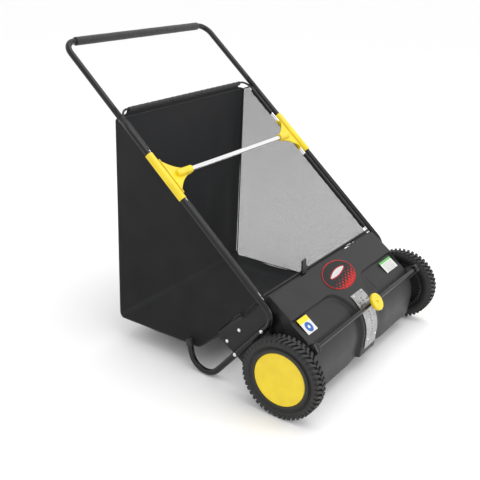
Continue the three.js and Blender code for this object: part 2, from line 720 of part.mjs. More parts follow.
function yokeBar() {
  const solid = radialBox(-BAR_END, BAR_END, BAR_HALF_WIDTH, BAR_R - BAR_LIP, BAR_R + BAR_LIP, BAR_DEG);
  const channel = radialBox(-BAR_END - 5, BAR_END + 5, BAR_HALF_WIDTH - 2.2, BAR_R - BAR_LIP - 5, BAR_R + BAR_LIP - 2.2, BAR_DEG);
  const hole = radial(new THREE.CylinderGeometry(3, 3, 40, 16).rotateX(Math.PI / 2), 0, BAR_R, BAR_DEG);
  return cut(solid, channel, hole);
}

function yokeArm() {
  const [by, bz] = around(BAR_R, BAR_DEG);
  const plate = slabX(hull([[by, bz, 15], [BRUSH_Y, BRUSH_Z, 26], [0, WHEEL_R, 17]]), ARM_X0, ARM_X1,
    [[BRUSH_Y, BRUSH_Z, BUSHING_R + 0.08, 48]]);
  const collar = radialBox(ARM_X1 - 1, 374, 12.5, BAR_R - 8, BAR_R + 8, BAR_DEG);
  const pocket = radialBox(ARM_X0 - 5, BAR_END + 0.4, BAR_HALF_WIDTH + 0.4, BAR_R - BAR_LIP - 0.4, BAR_R + BAR_LIP + 0.4, BAR_DEG);
  const axle = turned([[ARM_X1 - 1, 0], [ARM_X1 - 1, 12], [390, 12], [393.5, 9], [393.5, 6.5], [432, 6.5], [432, 6],
    [434, 6], [434, 0]], 0, WHEEL_R, 18);
  return cut(join(plate, collar, axle), pocket);
}

function lockPin() {
  const profile = [[0, 138], [2, 138], [2.4, 138.8], [2.4, 176.5], [0, 176.5]];
  const geometry = new THREE.LatheGeometry(profile.map(([r, h]) => new THREE.Vector2(r, h)), 16);
  geometry.rotateX(Math.PI / 2);
  geometry.rotateX(THREE.MathUtils.degToRad(BAR_DEG - 90));
  geometry.translate(0, BRUSH_Y, BRUSH_Z);
  return outward(merged(geometry));
}

function lockKnob() {
  const lobes = 12;
  const outline = [];
  for (let i = 0; i < lobes * 2; i++) {
    const a = 2 * Math.PI * i / (lobes * 2);
    const r = i % 2 ? 24 : 25.5;
    outline.push(new THREE.Vector2(r * Math.cos(a), r * Math.sin(a)));
  }
  const rim = new THREE.ExtrudeGeometry(new THREE.Shape(outline), {
    depth: 8, bevelEnabled: true, bevelThickness: 2.5, bevelSize: 2.5, bevelOffset: -2.5, bevelSegments: 1 });
  rim.translate(0, 0, 173.5);
  const neck = new THREE.CylinderGeometry(11, 11, 12, 24).rotateX(Math.PI / 2);
  neck.translate(0, 0, 168);
  const dish = new THREE.CylinderGeometry(17, 15, 3, 24).rotateX(Math.PI / 2);
  dish.translate(0, 0, 183.6);
  const eye = new THREE.CylinderGeometry(4, 4, 5, 16).rotateX(Math.PI / 2);
  eye.translate(0, 0, 181.2);
  const bore = new THREE.CylinderGeometry(2.7, 2.7, 20, 16).rotateX(Math.PI / 2);
  bore.translate(0, 0, 166.8);
  const knob = cut(join(rim, neck), dish, eye, bore);
  knob.rotateX(THREE.MathUtils.degToRad(BAR_DEG - 90));
  knob.translate(0, BRUSH_Y, BRUSH_Z);
  return knob;
}

// Straight-sided gear outline; widths are shares of a quarter tooth pitch at root and tip.
function gearOutline(teeth, tip, root, rootWidth, tipWidth) {
  const pitch = GEAR_MODULE * teeth / 2;
  const quarter = Math.PI / (2 * teeth);
  const points = [];
  for (let i = 0; i < teeth; i++) {
    const a = 4 * quarter * i;
    const corners = [[-rootWidth, root], [-tipWidth, tip], [tipWidth, tip], [rootWidth, root]];
    for (const [k, r] of corners) points.push([(pitch + r) * Math.cos(a + k * quarter), (pitch + r) * Math.sin(a + k * quarter)]);
  }
  return points;
}

function pinion() {
  const outline = gearOutline(PINION_TEETH, 2.6, -3.6, 1.36, 0.5).map(([y, z]) => [y + BRUSH_Y, z + BRUSH_Z]);
  return slabX(outline, GEAR_X0, GEAR_X1, [[BRUSH_Y, BRUSH_Z, SHAFT_R + 0.3, 20]]);
}

// Wheel moulding: hub, web, barrel for the tyre and the toothed ring inside it.
function wheelRim() {
  const body = turned([[394.8, 6.8], [394.8, 15], [418, 15], [418, 89], [397, 90], [397, TYRE_SEAT_R],
    [444, TYRE_SEAT_R], [444, 90], [424, 88], [422, 15], [431.5, 15],
    [431.5, 6.8], [394.8, 6.8]], 0, WHEEL_R, 28);
  const teeth = gearOutline(RING_TEETH, 3.4, -2.4, 1.5, 0.6);
  const circle = [];
  for (let i = 0; i < 28; i++) circle.push([86.9 * Math.cos(i * Math.PI / 14), WHEEL_R + 86.9 * Math.sin(i * Math.PI / 14)]);
  const ring = slabX(circle, GEAR_X0 - 0.5, 419);
  return join(body, cut(ring, slabX(teeth.map(([y, z]) => [y, z + WHEEL_R]), GEAR_X0 - 6, 425)));
}

function tyre() {
  const stations = LUG_COUNT * 4;
  const rows = [
    [400.8, TYRE_SEAT_R + 0.4, 0], [396.5, 96.5, 0], [WHEEL_IN, 108, 0], [399, 120, 0], [402, 122, 2],
    [419.5, 122, 2], [421.5, 122, 3], [439, 122, 3], [442.5, 119.5, 0], [WHEEL_OUT, 107, 0], [444.5, 96.5, 0],
    [441.2, TYRE_SEAT_R + 0.4, 0],
  ];
  const lugAt = (kind, i) => {
    const k = i % 4;
    if (kind === 2) return k < 2 ? LUG_HEIGHT : 0;
    if (kind === 3) return k >= 2 ? LUG_HEIGHT : 0;
    return 0;
  };
  const rings = [];
  for (let i = 0; i < stations; i++) {
    const ring = rows.map(([x, r, kind]) => {
      const skew = kind === 2 ? (x - 410) * 0.0022 : kind === 3 ? (430 - x) * 0.0022 : 0;
      const a = 2 * Math.PI * (i + (i % 2 ? 0.35 : 0)) / stations + skew;
      const size = r + lugAt(kind, i);
      return new THREE.Vector3(x, size * Math.cos(a), WHEEL_R + size * Math.sin(a));
    });
    rings.push(ring);
  }
  rings.push(rings[0].map((p) => p.clone()));
  return weld(rings);
}

function hubCap() {
  return turned([[432.5, 83.2], [438, 83.6], [439.2, 79], [442, 45], [443.2, 0], [441.2, 0], [440, 45], [437.2, 78.5],
    [432.5, 80.2], [432.5, 83.2]], 0, WHEEL_R, 32);
}

// ---------- brush ----------
function brushShaft() {
  const [e, t] = [412, 322];
  return turned([[-e, 0], [-e, SHAFT_R], [-t, SHAFT_R], [-t, 22], [t, 22], [t, SHAFT_R], [e, SHAFT_R], [e, 0]],
    BRUSH_Y, BRUSH_Z, 20);
}

function bristleRow(index) {
  const rings = [];
  for (let i = 0; i <= 8; i++) {
    const k = i / 8;
    const x = -BRUSH_HALF + 8 + (2 * BRUSH_HALF - 16) * k;
    const a = index * Math.PI / 2 + 0.35 * (k - 0.5) + 0.4;
    const dir = new THREE.Vector3(0, Math.cos(a), Math.sin(a));
    const side = new THREE.Vector3(0, -Math.sin(a), Math.cos(a));
    const at = (r, w) => new THREE.Vector3(x, BRUSH_Y, BRUSH_Z).addScaledVector(dir, r).addScaledVector(side, w);
    rings.push([at(23.2, -6), at(38, -6), at(42, -3.5), at(BRUSH_R, -7), at(BRUSH_R, 7), at(42, 3.5), at(38, 6), at(23.2, 6)]);
  }
  return loft(rings);
}

// ---------- assembly ----------
add('hood', hood(), HOOD_BLACK);
add('strap', strap(), ZINC);
add('badge', badge(), BADGE);
add('label_left', label(-322, -267, 104, 127), LABEL_WHITE);
add('label_right', label(240, 325, 106, 125), LABEL_WHITE);
for (const [name, x, a] of [['a', -SCREW_X, 0], ['b', SCREW_X, 0], ['c', -SCREW_X, 1], ['d', SCREW_X, 1]]) {
  add('strap_screw_' + name, strapScrew(x, SCREW_DEG[a]), ZINC);
}

const pairs = [
  ['end_plate', endPlate(), HOOD_BLACK], ['side_bracket', bracket(), TUBE_BLACK], ['lower_tube', lowerTube(), TUBE_BLACK],
  ['foot_cap', footCap(), BLACK_PLASTIC], ['clip_bracket', clipBracket(), YELLOW], ['bag_side', bagSide(), MESH],
  ['rod_sleeve_upper', rodSleeve(575, 694), FABRIC], ['rod_sleeve_lower', rodSleeve(22, 372), FABRIC],
  ['tube_bolt_front', tubeBolt(...TUBE_BOLTS[0]), ZINC], ['tube_bolt_rear', tubeBolt(...TUBE_BOLTS[1]), ZINC],
  ['plate_bolt_upper', spacerBolt(...PLATE_BOLTS[0]), ZINC], ['plate_bolt_lower', spacerBolt(...PLATE_BOLTS[1]), ZINC],
  ['shaft_bushing', bushing(), BLACK_PLASTIC], ['yoke_arm', yokeArm(), STEEL], ['wheel_rim', wheelRim(), BLACK_PLASTIC],
  ['tyre', tyre(), RUBBER], ['hub_cap', hubCap(), YELLOW], ['pinion', pinion(), BLACK_PLASTIC],
];
for (const [name, geometry, material] of pairs) {
  add(name + '_right', geometry, material);
  add(name + '_left', mirrored(geometry), material);
}

add('upper_handle', upperHandle(), TUBE_BLACK);
add('foam_grip', foamGrip(), FOAM);
add('spreader_bar', spreaderBar(), CHROME);
add('bag_shell', bagShell(), FABRIC);
add('bag_frame_rod', frameRod(), CHROME);
add('bag_front_rod', bagFrontRod(), FABRIC);
add('bag_hook_tab', bagHookTab(), BLACK_PLASTIC);
add('yoke_bar', yokeBar(), TUBE_BLACK);
add('lock_pin', lockPin(), ZINC);
add('lock_knob', lockKnob(), YELLOW);
add('brush_shaft', brushShaft(), STEEL);
for (let i = 0; i < 4; i++) add('bristle_row_' + (i + 1), bristleRow(i), BRISTLE);

export default object;
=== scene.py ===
# %% [markdown]
# # Push lawn sweeper
# Two ground wheels turn a brush under a sloped black hood. The brush throws leaves back into a
# fabric bag that hangs between the tubes of a U handle. The mechanical model is loaded first,
# and every piece made here rides on one of its bodies, so that it moves as the real one does.

# %% Load the mechanical model
import json
import math

import bmesh
import bpy
from mathutils import Matrix, Vector, noise


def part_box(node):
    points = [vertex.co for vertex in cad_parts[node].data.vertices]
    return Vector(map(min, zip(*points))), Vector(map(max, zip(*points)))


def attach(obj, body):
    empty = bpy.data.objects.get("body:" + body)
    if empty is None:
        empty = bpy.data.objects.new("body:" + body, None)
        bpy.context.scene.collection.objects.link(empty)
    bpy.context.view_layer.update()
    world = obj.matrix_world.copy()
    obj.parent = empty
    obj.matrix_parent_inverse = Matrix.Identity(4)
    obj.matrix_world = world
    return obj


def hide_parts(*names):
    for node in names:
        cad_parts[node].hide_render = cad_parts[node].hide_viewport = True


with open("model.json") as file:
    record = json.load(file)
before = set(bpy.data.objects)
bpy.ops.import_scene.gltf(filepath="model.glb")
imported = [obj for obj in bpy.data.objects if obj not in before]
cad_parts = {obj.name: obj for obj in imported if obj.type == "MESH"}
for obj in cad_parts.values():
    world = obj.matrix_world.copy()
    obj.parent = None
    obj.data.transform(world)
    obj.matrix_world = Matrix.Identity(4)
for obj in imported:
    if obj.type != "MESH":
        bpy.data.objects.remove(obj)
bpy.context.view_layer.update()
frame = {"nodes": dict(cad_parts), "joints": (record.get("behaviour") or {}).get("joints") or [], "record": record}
scene = bpy.context.scene
nodes = frame["nodes"]
record = frame["record"]

# %% [markdown]
# ## Places
# The machine is laid out from the axle of its wheels, so lengths are given here as the maker
# would measure them: millimetres across (X), back from the axle (Y) and up from the floor (Z).
# The handle slopes, so it has directions of its own: t runs up along its tubes, n stands above
# their plane. Two small functions turn such lengths into points of the model, in metres.

# %% Axles and the directions of the handle
joints = {joint["name"]: joint for joint in frame["joints"]}
AXLE = Vector(joints["wheel_left_spin"]["pos_m"])
BRUSH = Vector(joints["brush_spin"]["pos_m"])
ACROSS = Vector((1, 0, 0))
MM = 0.001
HANDLE_TILT = math.radians(40.82)
HANDLE_FOOT = (118.0, 320.8)   # (Y, Z) where the straight run of the tubes starts
UP_HANDLE = Vector((0, math.cos(HANDLE_TILT), math.sin(HANDLE_TILT)))
OFF_HANDLE = Vector((0, -math.sin(HANDLE_TILT), math.cos(HANDLE_TILT)))


def from_axle(x, y, z):
    return Vector((x * MM, AXLE.y + y * MM, z * MM))


def on_handle(x, t, n):
    return from_axle(x, *HANDLE_FOOT) + UP_HANDLE * t * MM + OFF_HANDLE * n * MM


def around_brush(x, radius, degrees):
    """A point at that radius and angle about the brush; 90 is up and 180 is forwards."""
    angle = math.radians(degrees)
    out = Vector((0, math.cos(angle), math.sin(angle)))
    return Vector((x * MM, BRUSH.y, BRUSH.z)) + out * radius * MM


print("axle", AXLE, "brush", BRUSH)

# %% [markdown]
# ## Camera
# The machine is seen from its front left and from above. A lens shift, and not a tilt, sets it
# in the frame, so that upright edges stay as they are. The camera is made before any piece,
# because everything after it is judged through it.

# %% Camera
AZIMUTH = math.radians(-51.57)
ELEVATION = math.radians(22.55)
ROLL = math.radians(0.34)
LENS_MM, LENS_SHIFT = 55.65, (0.138, 0.0274)
CAMERA_FROM_AXLE = Vector((-2.0633, -0.8978, 1.2791))   # height is from the floor
level = math.cos(ELEVATION)
towards_camera = Vector((math.sin(AZIMUTH) * level, -math.cos(AZIMUTH) * level, math.sin(ELEVATION)))
camera = bpy.data.objects.new("camera", bpy.data.cameras.new("camera"))
scene.collection.objects.link(camera)
camera.data.lens = LENS_MM
camera.data.shift_x, camera.data.shift_y = LENS_SHIFT
camera.location = Vector((0, AXLE.y, 0)) + CAMERA_FROM_AXLE
camera.rotation_mode = "QUATERNION"
roll = Matrix.Rotation(ROLL, 3, "Z").to_quaternion()
camera.rotation_quaternion = (-towards_camera).to_track_quat("-Z", "Y") @ roll
scene.camera = camera
print("camera at", [round(v, 3) for v in camera.location])

# %% [markdown]
# ## Studio
# The floor is one large pale sheet and the sky is an even white, so the background has no
# horizon. A broad lamp above and in front gives the tubes their long highlights and leaves a
# soft shadow under the wheels. The plain Standard view keeps the yellow as strong as it is.

# %% Floor, sky and lamps
FLOOR_HALF, FLOOR_DROP = 40, 0.0005
scene.view_settings.view_transform = "Standard"
floor_mesh = bmesh.new()
bmesh.ops.create_grid(floor_mesh, x_segments=1, y_segments=1, size=FLOOR_HALF)
floor_data = bpy.data.meshes.new("floor")
floor_mesh.to_mesh(floor_data)
floor_mesh.free()
floor = bpy.data.objects.new("floor", floor_data)
floor.location.z = -FLOOR_DROP
scene.collection.objects.link(floor)
floor_paint = bpy.data.materials.new("floor_paint")
floor_paint.use_nodes = True
floor_shader = floor_paint.node_tree.nodes["Principled BSDF"]
floor_shader.inputs["Base Color"].default_value = (0.97, 0.97, 0.97, 1)
floor_shader.inputs["Roughness"].default_value = 0.9
floor_shader.inputs["Specular IOR Level"].default_value = 0.1
floor_data.materials.append(floor_paint)

sky = bpy.data.worlds.new("sky")
scene.world = sky
sky.use_nodes = True
sky.node_tree.nodes["Background"].inputs["Color"].default_value = (1, 1, 1, 1)
sky.node_tree.nodes["Background"].inputs["Strength"].default_value = 1.02


def lamp(name, place, aim, size, power):
    data = bpy.data.lights.new(name, "AREA")
    data.shape = "RECTANGLE"
    data.size, data.size_y = size
    data.energy = power
    obj = bpy.data.objects.new(name, data)
    obj.location = place
    obj.rotation_euler = (Vector(aim) - Vector(place)).to_track_quat("-Z", "Y").to_euler()
    scene.collection.objects.link(obj)


lamp("lamp_top", (0.3, -0.6, 3.2), (0, 0, 0.3), (3.0, 2.2), 34)
lamp("lamp_front", (1.6, -3.0, 1.9), (0, -0.2, 0.3), (1.6, 1.6), 20)
print("floor, sky and two lamps")

# %% [markdown]
# ## Tools of the trade
# Four ways of making cover nearly the whole machine. A bent tube is a ring of edges that is
# pushed along each straight run and spun round each bend, as a tube bender does it. A turned
# piece is a profile spun a full turn about a line across the machine. A sheet of metal or
# plastic is an outline pushed out to its thickness. A pressed or folded piece whose shape is
# already right in the mechanical model is copied, and its edges are rounded with a bevel.

# %% Put a finished mesh in the scene
BODY = {node: body for body, members in record["behaviour"]["bodies"].items() for node in members}


def put(name, bm, node, finish, sharp=32):
    """Makes a piece that stands for a node of the mechanical model and rides on its body."""
    data = bpy.data.meshes.new(name)
    bm.to_mesh(data)
    bm.free()
    data.shade_smooth()
    data.set_sharp_from_angle(angle=math.radians(sharp))
    data.materials.append(finish)
    obj = bpy.data.objects.new(name, data)
    scene.collection.objects.link(obj)
    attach(obj, BODY[node])
    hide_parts(node)
    return obj


def flip_to_left(bm):
    """The left piece is the right one mirrored, with its faces turned outwards again."""
    bmesh.ops.scale(bm, vec=(-1, 1, 1), verts=bm.verts[:])
    bmesh.ops.reverse_faces(bm, faces=bm.faces[:])


def add_wall(obj, thickness, offset=-1):
    wall = obj.modifiers.new("Wall", "SOLIDIFY")
    wall.thickness = thickness * MM
    wall.offset = offset
    return obj


def round_edges(obj, width, segments=2, angle=40):
    bevel = obj.modifiers.new("Rounded edges", "BEVEL")
    bevel.width = width * MM
    bevel.segments = segments
    bevel.limit_method = "ANGLE"
    bevel.angle_limit = math.radians(angle)
    bevel.harden_normals = True
    return obj


# %% Bend a tube
LONGEST_RUN, BEND_STEP_DEG = 0.06, 6


def made_of(kind, geometry):
    return [item for item in geometry if isinstance(item, kind)]


def grown_ring(bm, ring):
    """Grows a ring of edges into a band and returns the points and edges of the new ring."""
    grown = bmesh.ops.extrude_edge_only(bm, edges=ring)["geom"]
    verts = made_of(bmesh.types.BMVert, grown)
    edges = made_of(bmesh.types.BMEdge, grown)
    return verts, [edge for edge in edges if edge.verts[0] in verts and edge.verts[1] in verts]


def bent_tube(corners, bends, radius, sides=28):
    """A tube through corners, each rounded to its bend radius in millimetres."""
    bm = bmesh.new()
    way = (corners[1] - corners[0]).normalized()
    start = Matrix.Translation(corners[0]) @ way.to_track_quat("Z", "X").to_matrix().to_4x4()
    bmesh.ops.create_circle(bm, segments=sides, radius=radius * MM, matrix=start)
    ring, place = bm.edges[:], corners[0]
    for here, after, bend in zip(corners[1:], [*corners[2:], None], [*bends, 0]):
        next_way = (after - here).normalized() if after else way
        angle = way.angle(next_way)
        end = here - way * bend * MM * math.tan(angle / 2)
        run = max(1, round((end - place).length / LONGEST_RUN))
        for _ in range(run):
            verts, ring = grown_ring(bm, ring)
            bmesh.ops.translate(bm, verts=verts, vec=(end - place) / run)
        if after:
            axis = way.cross(next_way).normalized()
            centre = end + axis.cross(way) * bend * MM
            steps = max(4, round(math.degrees(angle) / BEND_STEP_DEG))
            spun = bmesh.ops.spin(bm, geom=ring, cent=centre, axis=axis, angle=angle, steps=steps,
                                  use_merge=False)
            ring = made_of(bmesh.types.BMEdge, spun["geom_last"])
            place = centre + Matrix.Rotation(angle, 3, axis) @ (end - centre)
            way = next_way
    bmesh.ops.recalc_face_normals(bm, faces=bm.faces[:])
    return bm


# %% Turn a piece on a lathe
def turned(profile, centre, segments=64, axis=ACROSS):
    """profile is (along, radius) pairs in millimetres; it turns about the line through centre."""
    bm = bmesh.new()
    out = axis.orthogonal().normalized()
    verts = [bm.verts.new(centre + (axis * along + out * radius) * MM) for along, radius in profile]
    edges = [bm.edges.new(pair) for pair in zip(verts, verts[1:])]
    bmesh.ops.spin(bm, geom=verts + edges, cent=centre, axis=axis, angle=2 * math.pi, steps=segments,
                   use_merge=True)
    bmesh.ops.remove_doubles(bm, verts=bm.verts[:], dist=1e-6)
    bmesh.ops.recalc_face_normals(bm, faces=bm.faces[:])
    return bm


def open_tube(half, radius, chamfer, drop, bore):
    """Profile of a straight tube with chamfered ends."""
    return [(-half, bore), (-half, radius - drop), (-half + chamfer, radius), (half - chamfer, radius),
            (half, radius - drop), (half, bore), (-half, bore)]


# %% Push an outline out to a sheet, and copy a shape that is already right
def pushed_out(outline, push):
    """outline is the corners of one flat face, and push the way and length it is pushed out."""
    bm = bmesh.new()
    face = bm.faces.new([bm.verts.new(corner) for corner in outline])
    grown = bmesh.ops.extrude_face_region(bm, geom=[face], use_keep_orig=True)["geom"]
    bmesh.ops.translate(bm, verts=made_of(bmesh.types.BMVert, grown), vec=push)
    bmesh.ops.recalc_face_normals(bm, faces=bm.faces[:])
    return bm


def copied(node):
    """The node's own shape with its loose triangles joined."""
    bm = bmesh.new()
    bm.from_mesh(nodes[node].data)
    bmesh.ops.remove_doubles(bm, verts=bm.verts[:], dist=5e-6)
    return bm


def soften_edges(bm, edges, width, segments):
    bmesh.ops.bevel(bm, geom=edges, offset=width * MM, segments=segments, profile=0.5, affect="EDGES",
                    material=-1)


def edges_across(bm, way):
    """The edges of a pushed out shape that lie square to the way it was pushed."""
    return [e for e in bm.edges if abs((e.verts[0].co - e.verts[1].co).dot(way)) < 1e-5]


def middle_of(node):
    low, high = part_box(node)
    return (low + high) / 2


def add_to(bm, part):
    """Adds one finished shape to another, and is then done with it."""
    data = bpy.data.meshes.new("part")
    part.to_mesh(data)
    part.free()
    bm.from_mesh(data)
    bpy.data.meshes.remove(data)


print("tube bender, lathe, press and copy are ready")

# %% [markdown]
# ## Finishes
# Every finish starts as one Principled shader whose fixed values sit on its own sockets. What
# makes it a material is the small stuff: the orange peel of powder coat, the grain of moulded
# plastic, the spangle of zinc. Each is noise on Object coordinates, in metres, so a scale of
# 500 gives grains of about two millimetres on every piece alike.

# %% Start a finish, give it grain, give it patches
def new_finish(name, colour, roughness, metallic=0.0, **sockets):
    finish = bpy.data.materials.new(name)
    finish.use_nodes = True
    shader = finish.node_tree.nodes["Principled BSDF"]
    shader.inputs["Base Color"].default_value = (*colour, 1)
    shader.inputs["Roughness"].default_value = roughness
    shader.inputs["Metallic"].default_value = metallic
    for socket, value in sockets.items():
        shader.inputs[socket.replace("_", " ")].default_value = value
    return finish


def shader_of(finish):
    return finish.node_tree.nodes["Principled BSDF"]


def add_node(finish, kind, **settings):
    node = finish.node_tree.nodes.new(kind)
    for key, value in settings.items():
        setattr(node, key, value)
    return node


def wire(finish, source, target):
    finish.node_tree.links.new(source, target)


def pattern(finish, kind, scale, stretch=(1, 1, 1), where="Object", **settings):
    """A texture node on the piece's own coordinates, stretched if the real pattern is."""
    place = add_node(finish, "ShaderNodeTexCoord")
    mapping = add_node(finish, "ShaderNodeMapping")
    mapping.inputs["Scale"].default_value = stretch
    texture = add_node(finish, kind, **settings)
    texture.inputs["Scale"].default_value = scale
    wire(finish, place.outputs[where], mapping.inputs["Vector"])
    wire(finish, mapping.outputs["Vector"], texture.inputs["Vector"])
    return texture


def add_bump(finish, height, depth, strength=1.0):
    """Raises the surface by a height socket, depth in millimetres; bumps can follow each other."""
    bump = add_node(finish, "ShaderNodeBump")
    bump.inputs["Distance"].default_value = depth * MM
    bump.inputs["Strength"].default_value = strength
    wire(finish, height, bump.inputs["Height"])
    normal = shader_of(finish).inputs["Normal"]
    if normal.is_linked:
        wire(finish, normal.links[0].from_socket, bump.inputs["Normal"])
    wire(finish, bump.outputs["Normal"], normal)


def add_grain(finish, scale, depth, detail=3.0, stretch=(1, 1, 1)):
    grain = pattern(finish, "ShaderNodeTexNoise", scale, stretch)
    grain.inputs["Detail"].default_value = detail
    add_bump(finish, grain.outputs["Fac"], depth)
    return grain


def ramp(finish, source, stops):
    """Turns a 0 to 1 socket into colours or greys at the given stops."""
    node = add_node(finish, "ShaderNodeValToRGB")
    while len(node.color_ramp.elements) < len(stops):
        node.color_ramp.elements.new(0.5)
    for element, (position, colour) in zip(node.color_ramp.elements, stops):
        element.position = position
        element.color = (*colour, 1) if hasattr(colour, "__len__") else (colour, colour, colour, 1)
    wire(finish, source, node.inputs["Fac"])
    return node.outputs["Color"]


def add_patches(finish, scale, dark, light, rough=None, stretch=(1, 1, 1)):
    """Soft patches of two shades, and of two roughnesses where handling has polished it."""
    cloud = pattern(finish, "ShaderNodeTexNoise", scale, stretch)
    cloud.inputs["Detail"].default_value = 4
    for socket, shades in (("Base Color", (dark, light)), ("Roughness", rough)):
        if shades:
            shade = ramp(finish, cloud.outputs["Fac"], [(0.35, shades[0]), (0.68, shades[1])])
            wire(finish, shade, shader_of(finish).inputs[socket])


def worn_finish(name, colour, roughness, patches, grain, metallic=0.0, **sockets):
    """A finish with its patches and its grain, each given as the arguments of its function."""
    finish = new_finish(name, colour, roughness, metallic, **sockets)
    add_patches(finish, *patches)
    add_grain(finish, *grain)
    return finish


def combine(finish, operation, first, second=0.0):
    """The output of a maths node whose two inputs are numbers or sockets."""
    node = add_node(finish, "ShaderNodeMath", operation=operation)
    for socket, value in zip(node.inputs, (first, second)):
        if isinstance(value, float):
            socket.default_value = value
        else:
            wire(finish, value, socket)
    return node.outputs["Value"]


print("finish tools ready")

# %% Paint, plastic, metal, foam and rubber
hood_coat = worn_finish("hood_coat", (0.019, 0.019, 0.020), 0.44,
                        (9, (0.018, 0.018, 0.019), (0.023, 0.023, 0.0245), (0.38, 0.48)),
                        (700, 0.06), Specular_IOR_Level=0.28)
tube_coat = worn_finish("tube_coat", (0.006, 0.006, 0.007), 0.20,
                        (14, (0.005, 0.005, 0.0055), (0.009, 0.009, 0.0095), (0.16, 0.26)),
                        (420, 0.05, 1.5), Specular_IOR_Level=0.3, Coat_Weight=0.12, Coat_Roughness=0.06)
plate_coat = worn_finish("plate_coat", (0.010, 0.010, 0.011), 0.38,
                         (18, (0.009, 0.009, 0.010), (0.013, 0.013, 0.014), (0.34, 0.46)),
                         (600, 0.05), Specular_IOR_Level=0.3)
yellow_plastic = worn_finish("yellow_plastic", (0.80, 0.60, 0.012), 0.36,
                             (22, (0.77, 0.565, 0.010), (0.84, 0.635, 0.014), (0.33, 0.42)),
                             (900, 0.04), Coat_Weight=0.08)
black_plastic = worn_finish("black_plastic", (0.014, 0.014, 0.014), 0.52,
                            (30, (0.012, 0.012, 0.012), (0.019, 0.019, 0.019), (0.46, 0.60)),
                            (1100, 0.08))
bright_chrome = worn_finish("bright_chrome", (0.90, 0.90, 0.91), 0.07,
                            (40, (0.88, 0.88, 0.89), (0.93, 0.93, 0.94), (0.05, 0.11), (0.2, 1, 1)),
                            (500, 0.01, 3.0, (0.1, 1, 1)), metallic=1.0)
bolt_zinc = worn_finish("bolt_zinc", (0.74, 0.75, 0.76), 0.24,
                        (160, (0.68, 0.69, 0.71), (0.80, 0.80, 0.81), (0.20, 0.34)),
                        (1500, 0.02), metallic=1.0)
dark_steel = worn_finish("dark_steel", (0.05, 0.05, 0.052), 0.40,
                         (35, (0.04, 0.04, 0.042), (0.065, 0.064, 0.062), (0.36, 0.50)),
                         (650, 0.04), metallic=0.6)
tyre_rubber = worn_finish("tyre_rubber", (0.015, 0.015, 0.015), 0.58,
                          (45, (0.012, 0.012, 0.012), (0.019, 0.0185, 0.018), (0.50, 0.66)),
                          (900, 0.10), Specular_IOR_Level=0.45)
brush_fibre = worn_finish("brush_fibre", (0.030, 0.032, 0.034), 0.48,
                          (90, (0.022, 0.024, 0.026), (0.046, 0.048, 0.050), (0.42, 0.60)),
                          (2200, 0.03))

galvanised = new_finish("galvanised", (0.42, 0.43, 0.44), 0.34, metallic=1.0)
spangle = pattern(galvanised, "ShaderNodeTexVoronoi", 190)
for socket, dull, bright in (("Base Color", 0.36, 0.46), ("Roughness", 0.33, 0.40)):
    shades = ramp(galvanised, spangle.outputs["Color"], [(0.2, dull), (0.8, bright)])
    wire(galvanised, shades, shader_of(galvanised).inputs[socket])
add_grain(galvanised, 800, 0.03, stretch=(0.15, 1, 1))

grip_foam = new_finish("grip_foam", (0.020, 0.020, 0.021), 0.92, Sheen_Weight=0.25, Sheen_Roughness=0.5)
add_patches(grip_foam, 60, (0.016, 0.016, 0.017), (0.028, 0.028, 0.029))
pores = pattern(grip_foam, "ShaderNodeTexVoronoi", 620)
add_bump(grip_foam, pores.outputs["Distance"], 0.35)
print(len(bpy.data.materials), "materials so far")

# %% [markdown]
# ## Cloth
# The bag has two cloths. Its back and floor are a coated plain weave, shown by two crossing
# waves that raise the surface. Its sides are an open mesh: where neither thread passes there
# is nothing, so the shader is see-through there. Both patterns follow the cloth, so they read
# its UV map, which is laid out in metres.

# %% Woven cloth and open mesh
bag_cloth = new_finish("bag_cloth", (0.0075, 0.008, 0.0095), 0.50, Specular_IOR_Level=0.22,
                       Sheen_Weight=0.03, Sheen_Roughness=0.4)
add_patches(bag_cloth, 5, (0.0065, 0.007, 0.0085), (0.0095, 0.010, 0.0118), rough=(0.44, 0.58))


def thread_wave(finish, axis, pitch):
    """A wave of one period per pitch along U or V."""
    place = add_node(finish, "ShaderNodeUVMap", uv_map="cloth")
    apart = add_node(finish, "ShaderNodeSeparateXYZ")
    wire(finish, place.outputs["UV"], apart.inputs["Vector"])
    pitches = combine(finish, "MULTIPLY", apart.outputs[axis], 1 / (pitch * MM))
    return combine(finish, "PINGPONG", pitches, 0.5)


WEAVE_PITCH, NET_PITCH = 1.6, 2.0
weave = combine(bag_cloth, "MULTIPLY", thread_wave(bag_cloth, "X", WEAVE_PITCH),
                thread_wave(bag_cloth, "Y", WEAVE_PITCH))
add_bump(bag_cloth, weave, 0.5, strength=0.6)

mesh_cloth = new_finish("mesh_cloth", (0.012, 0.012, 0.013), 0.7, Specular_IOR_Level=0.3)
THREAD_SHARE = 0.2   # half of the thread's width over the pitch
warp = combine(mesh_cloth, "LESS_THAN", thread_wave(mesh_cloth, "X", NET_PITCH), THREAD_SHARE)
weft = combine(mesh_cloth, "LESS_THAN", thread_wave(mesh_cloth, "Y", NET_PITCH), THREAD_SHARE)
wire(mesh_cloth, combine(mesh_cloth, "MAXIMUM", warp, weft), shader_of(mesh_cloth).inputs["Alpha"])
add_patches(mesh_cloth, 12, (0.010, 0.010, 0.011), (0.015, 0.015, 0.016))
print("cloths ready")

# %% [markdown]
# ## Handle
# The U handle is three lengths of the same tube. Each side tube runs straight from the joint
# down past the hood, bends down to the bracket, and curls up again into a foot, which keeps
# the bag off the floor when the machine is parked. The upper U is pushed into the side tubes.

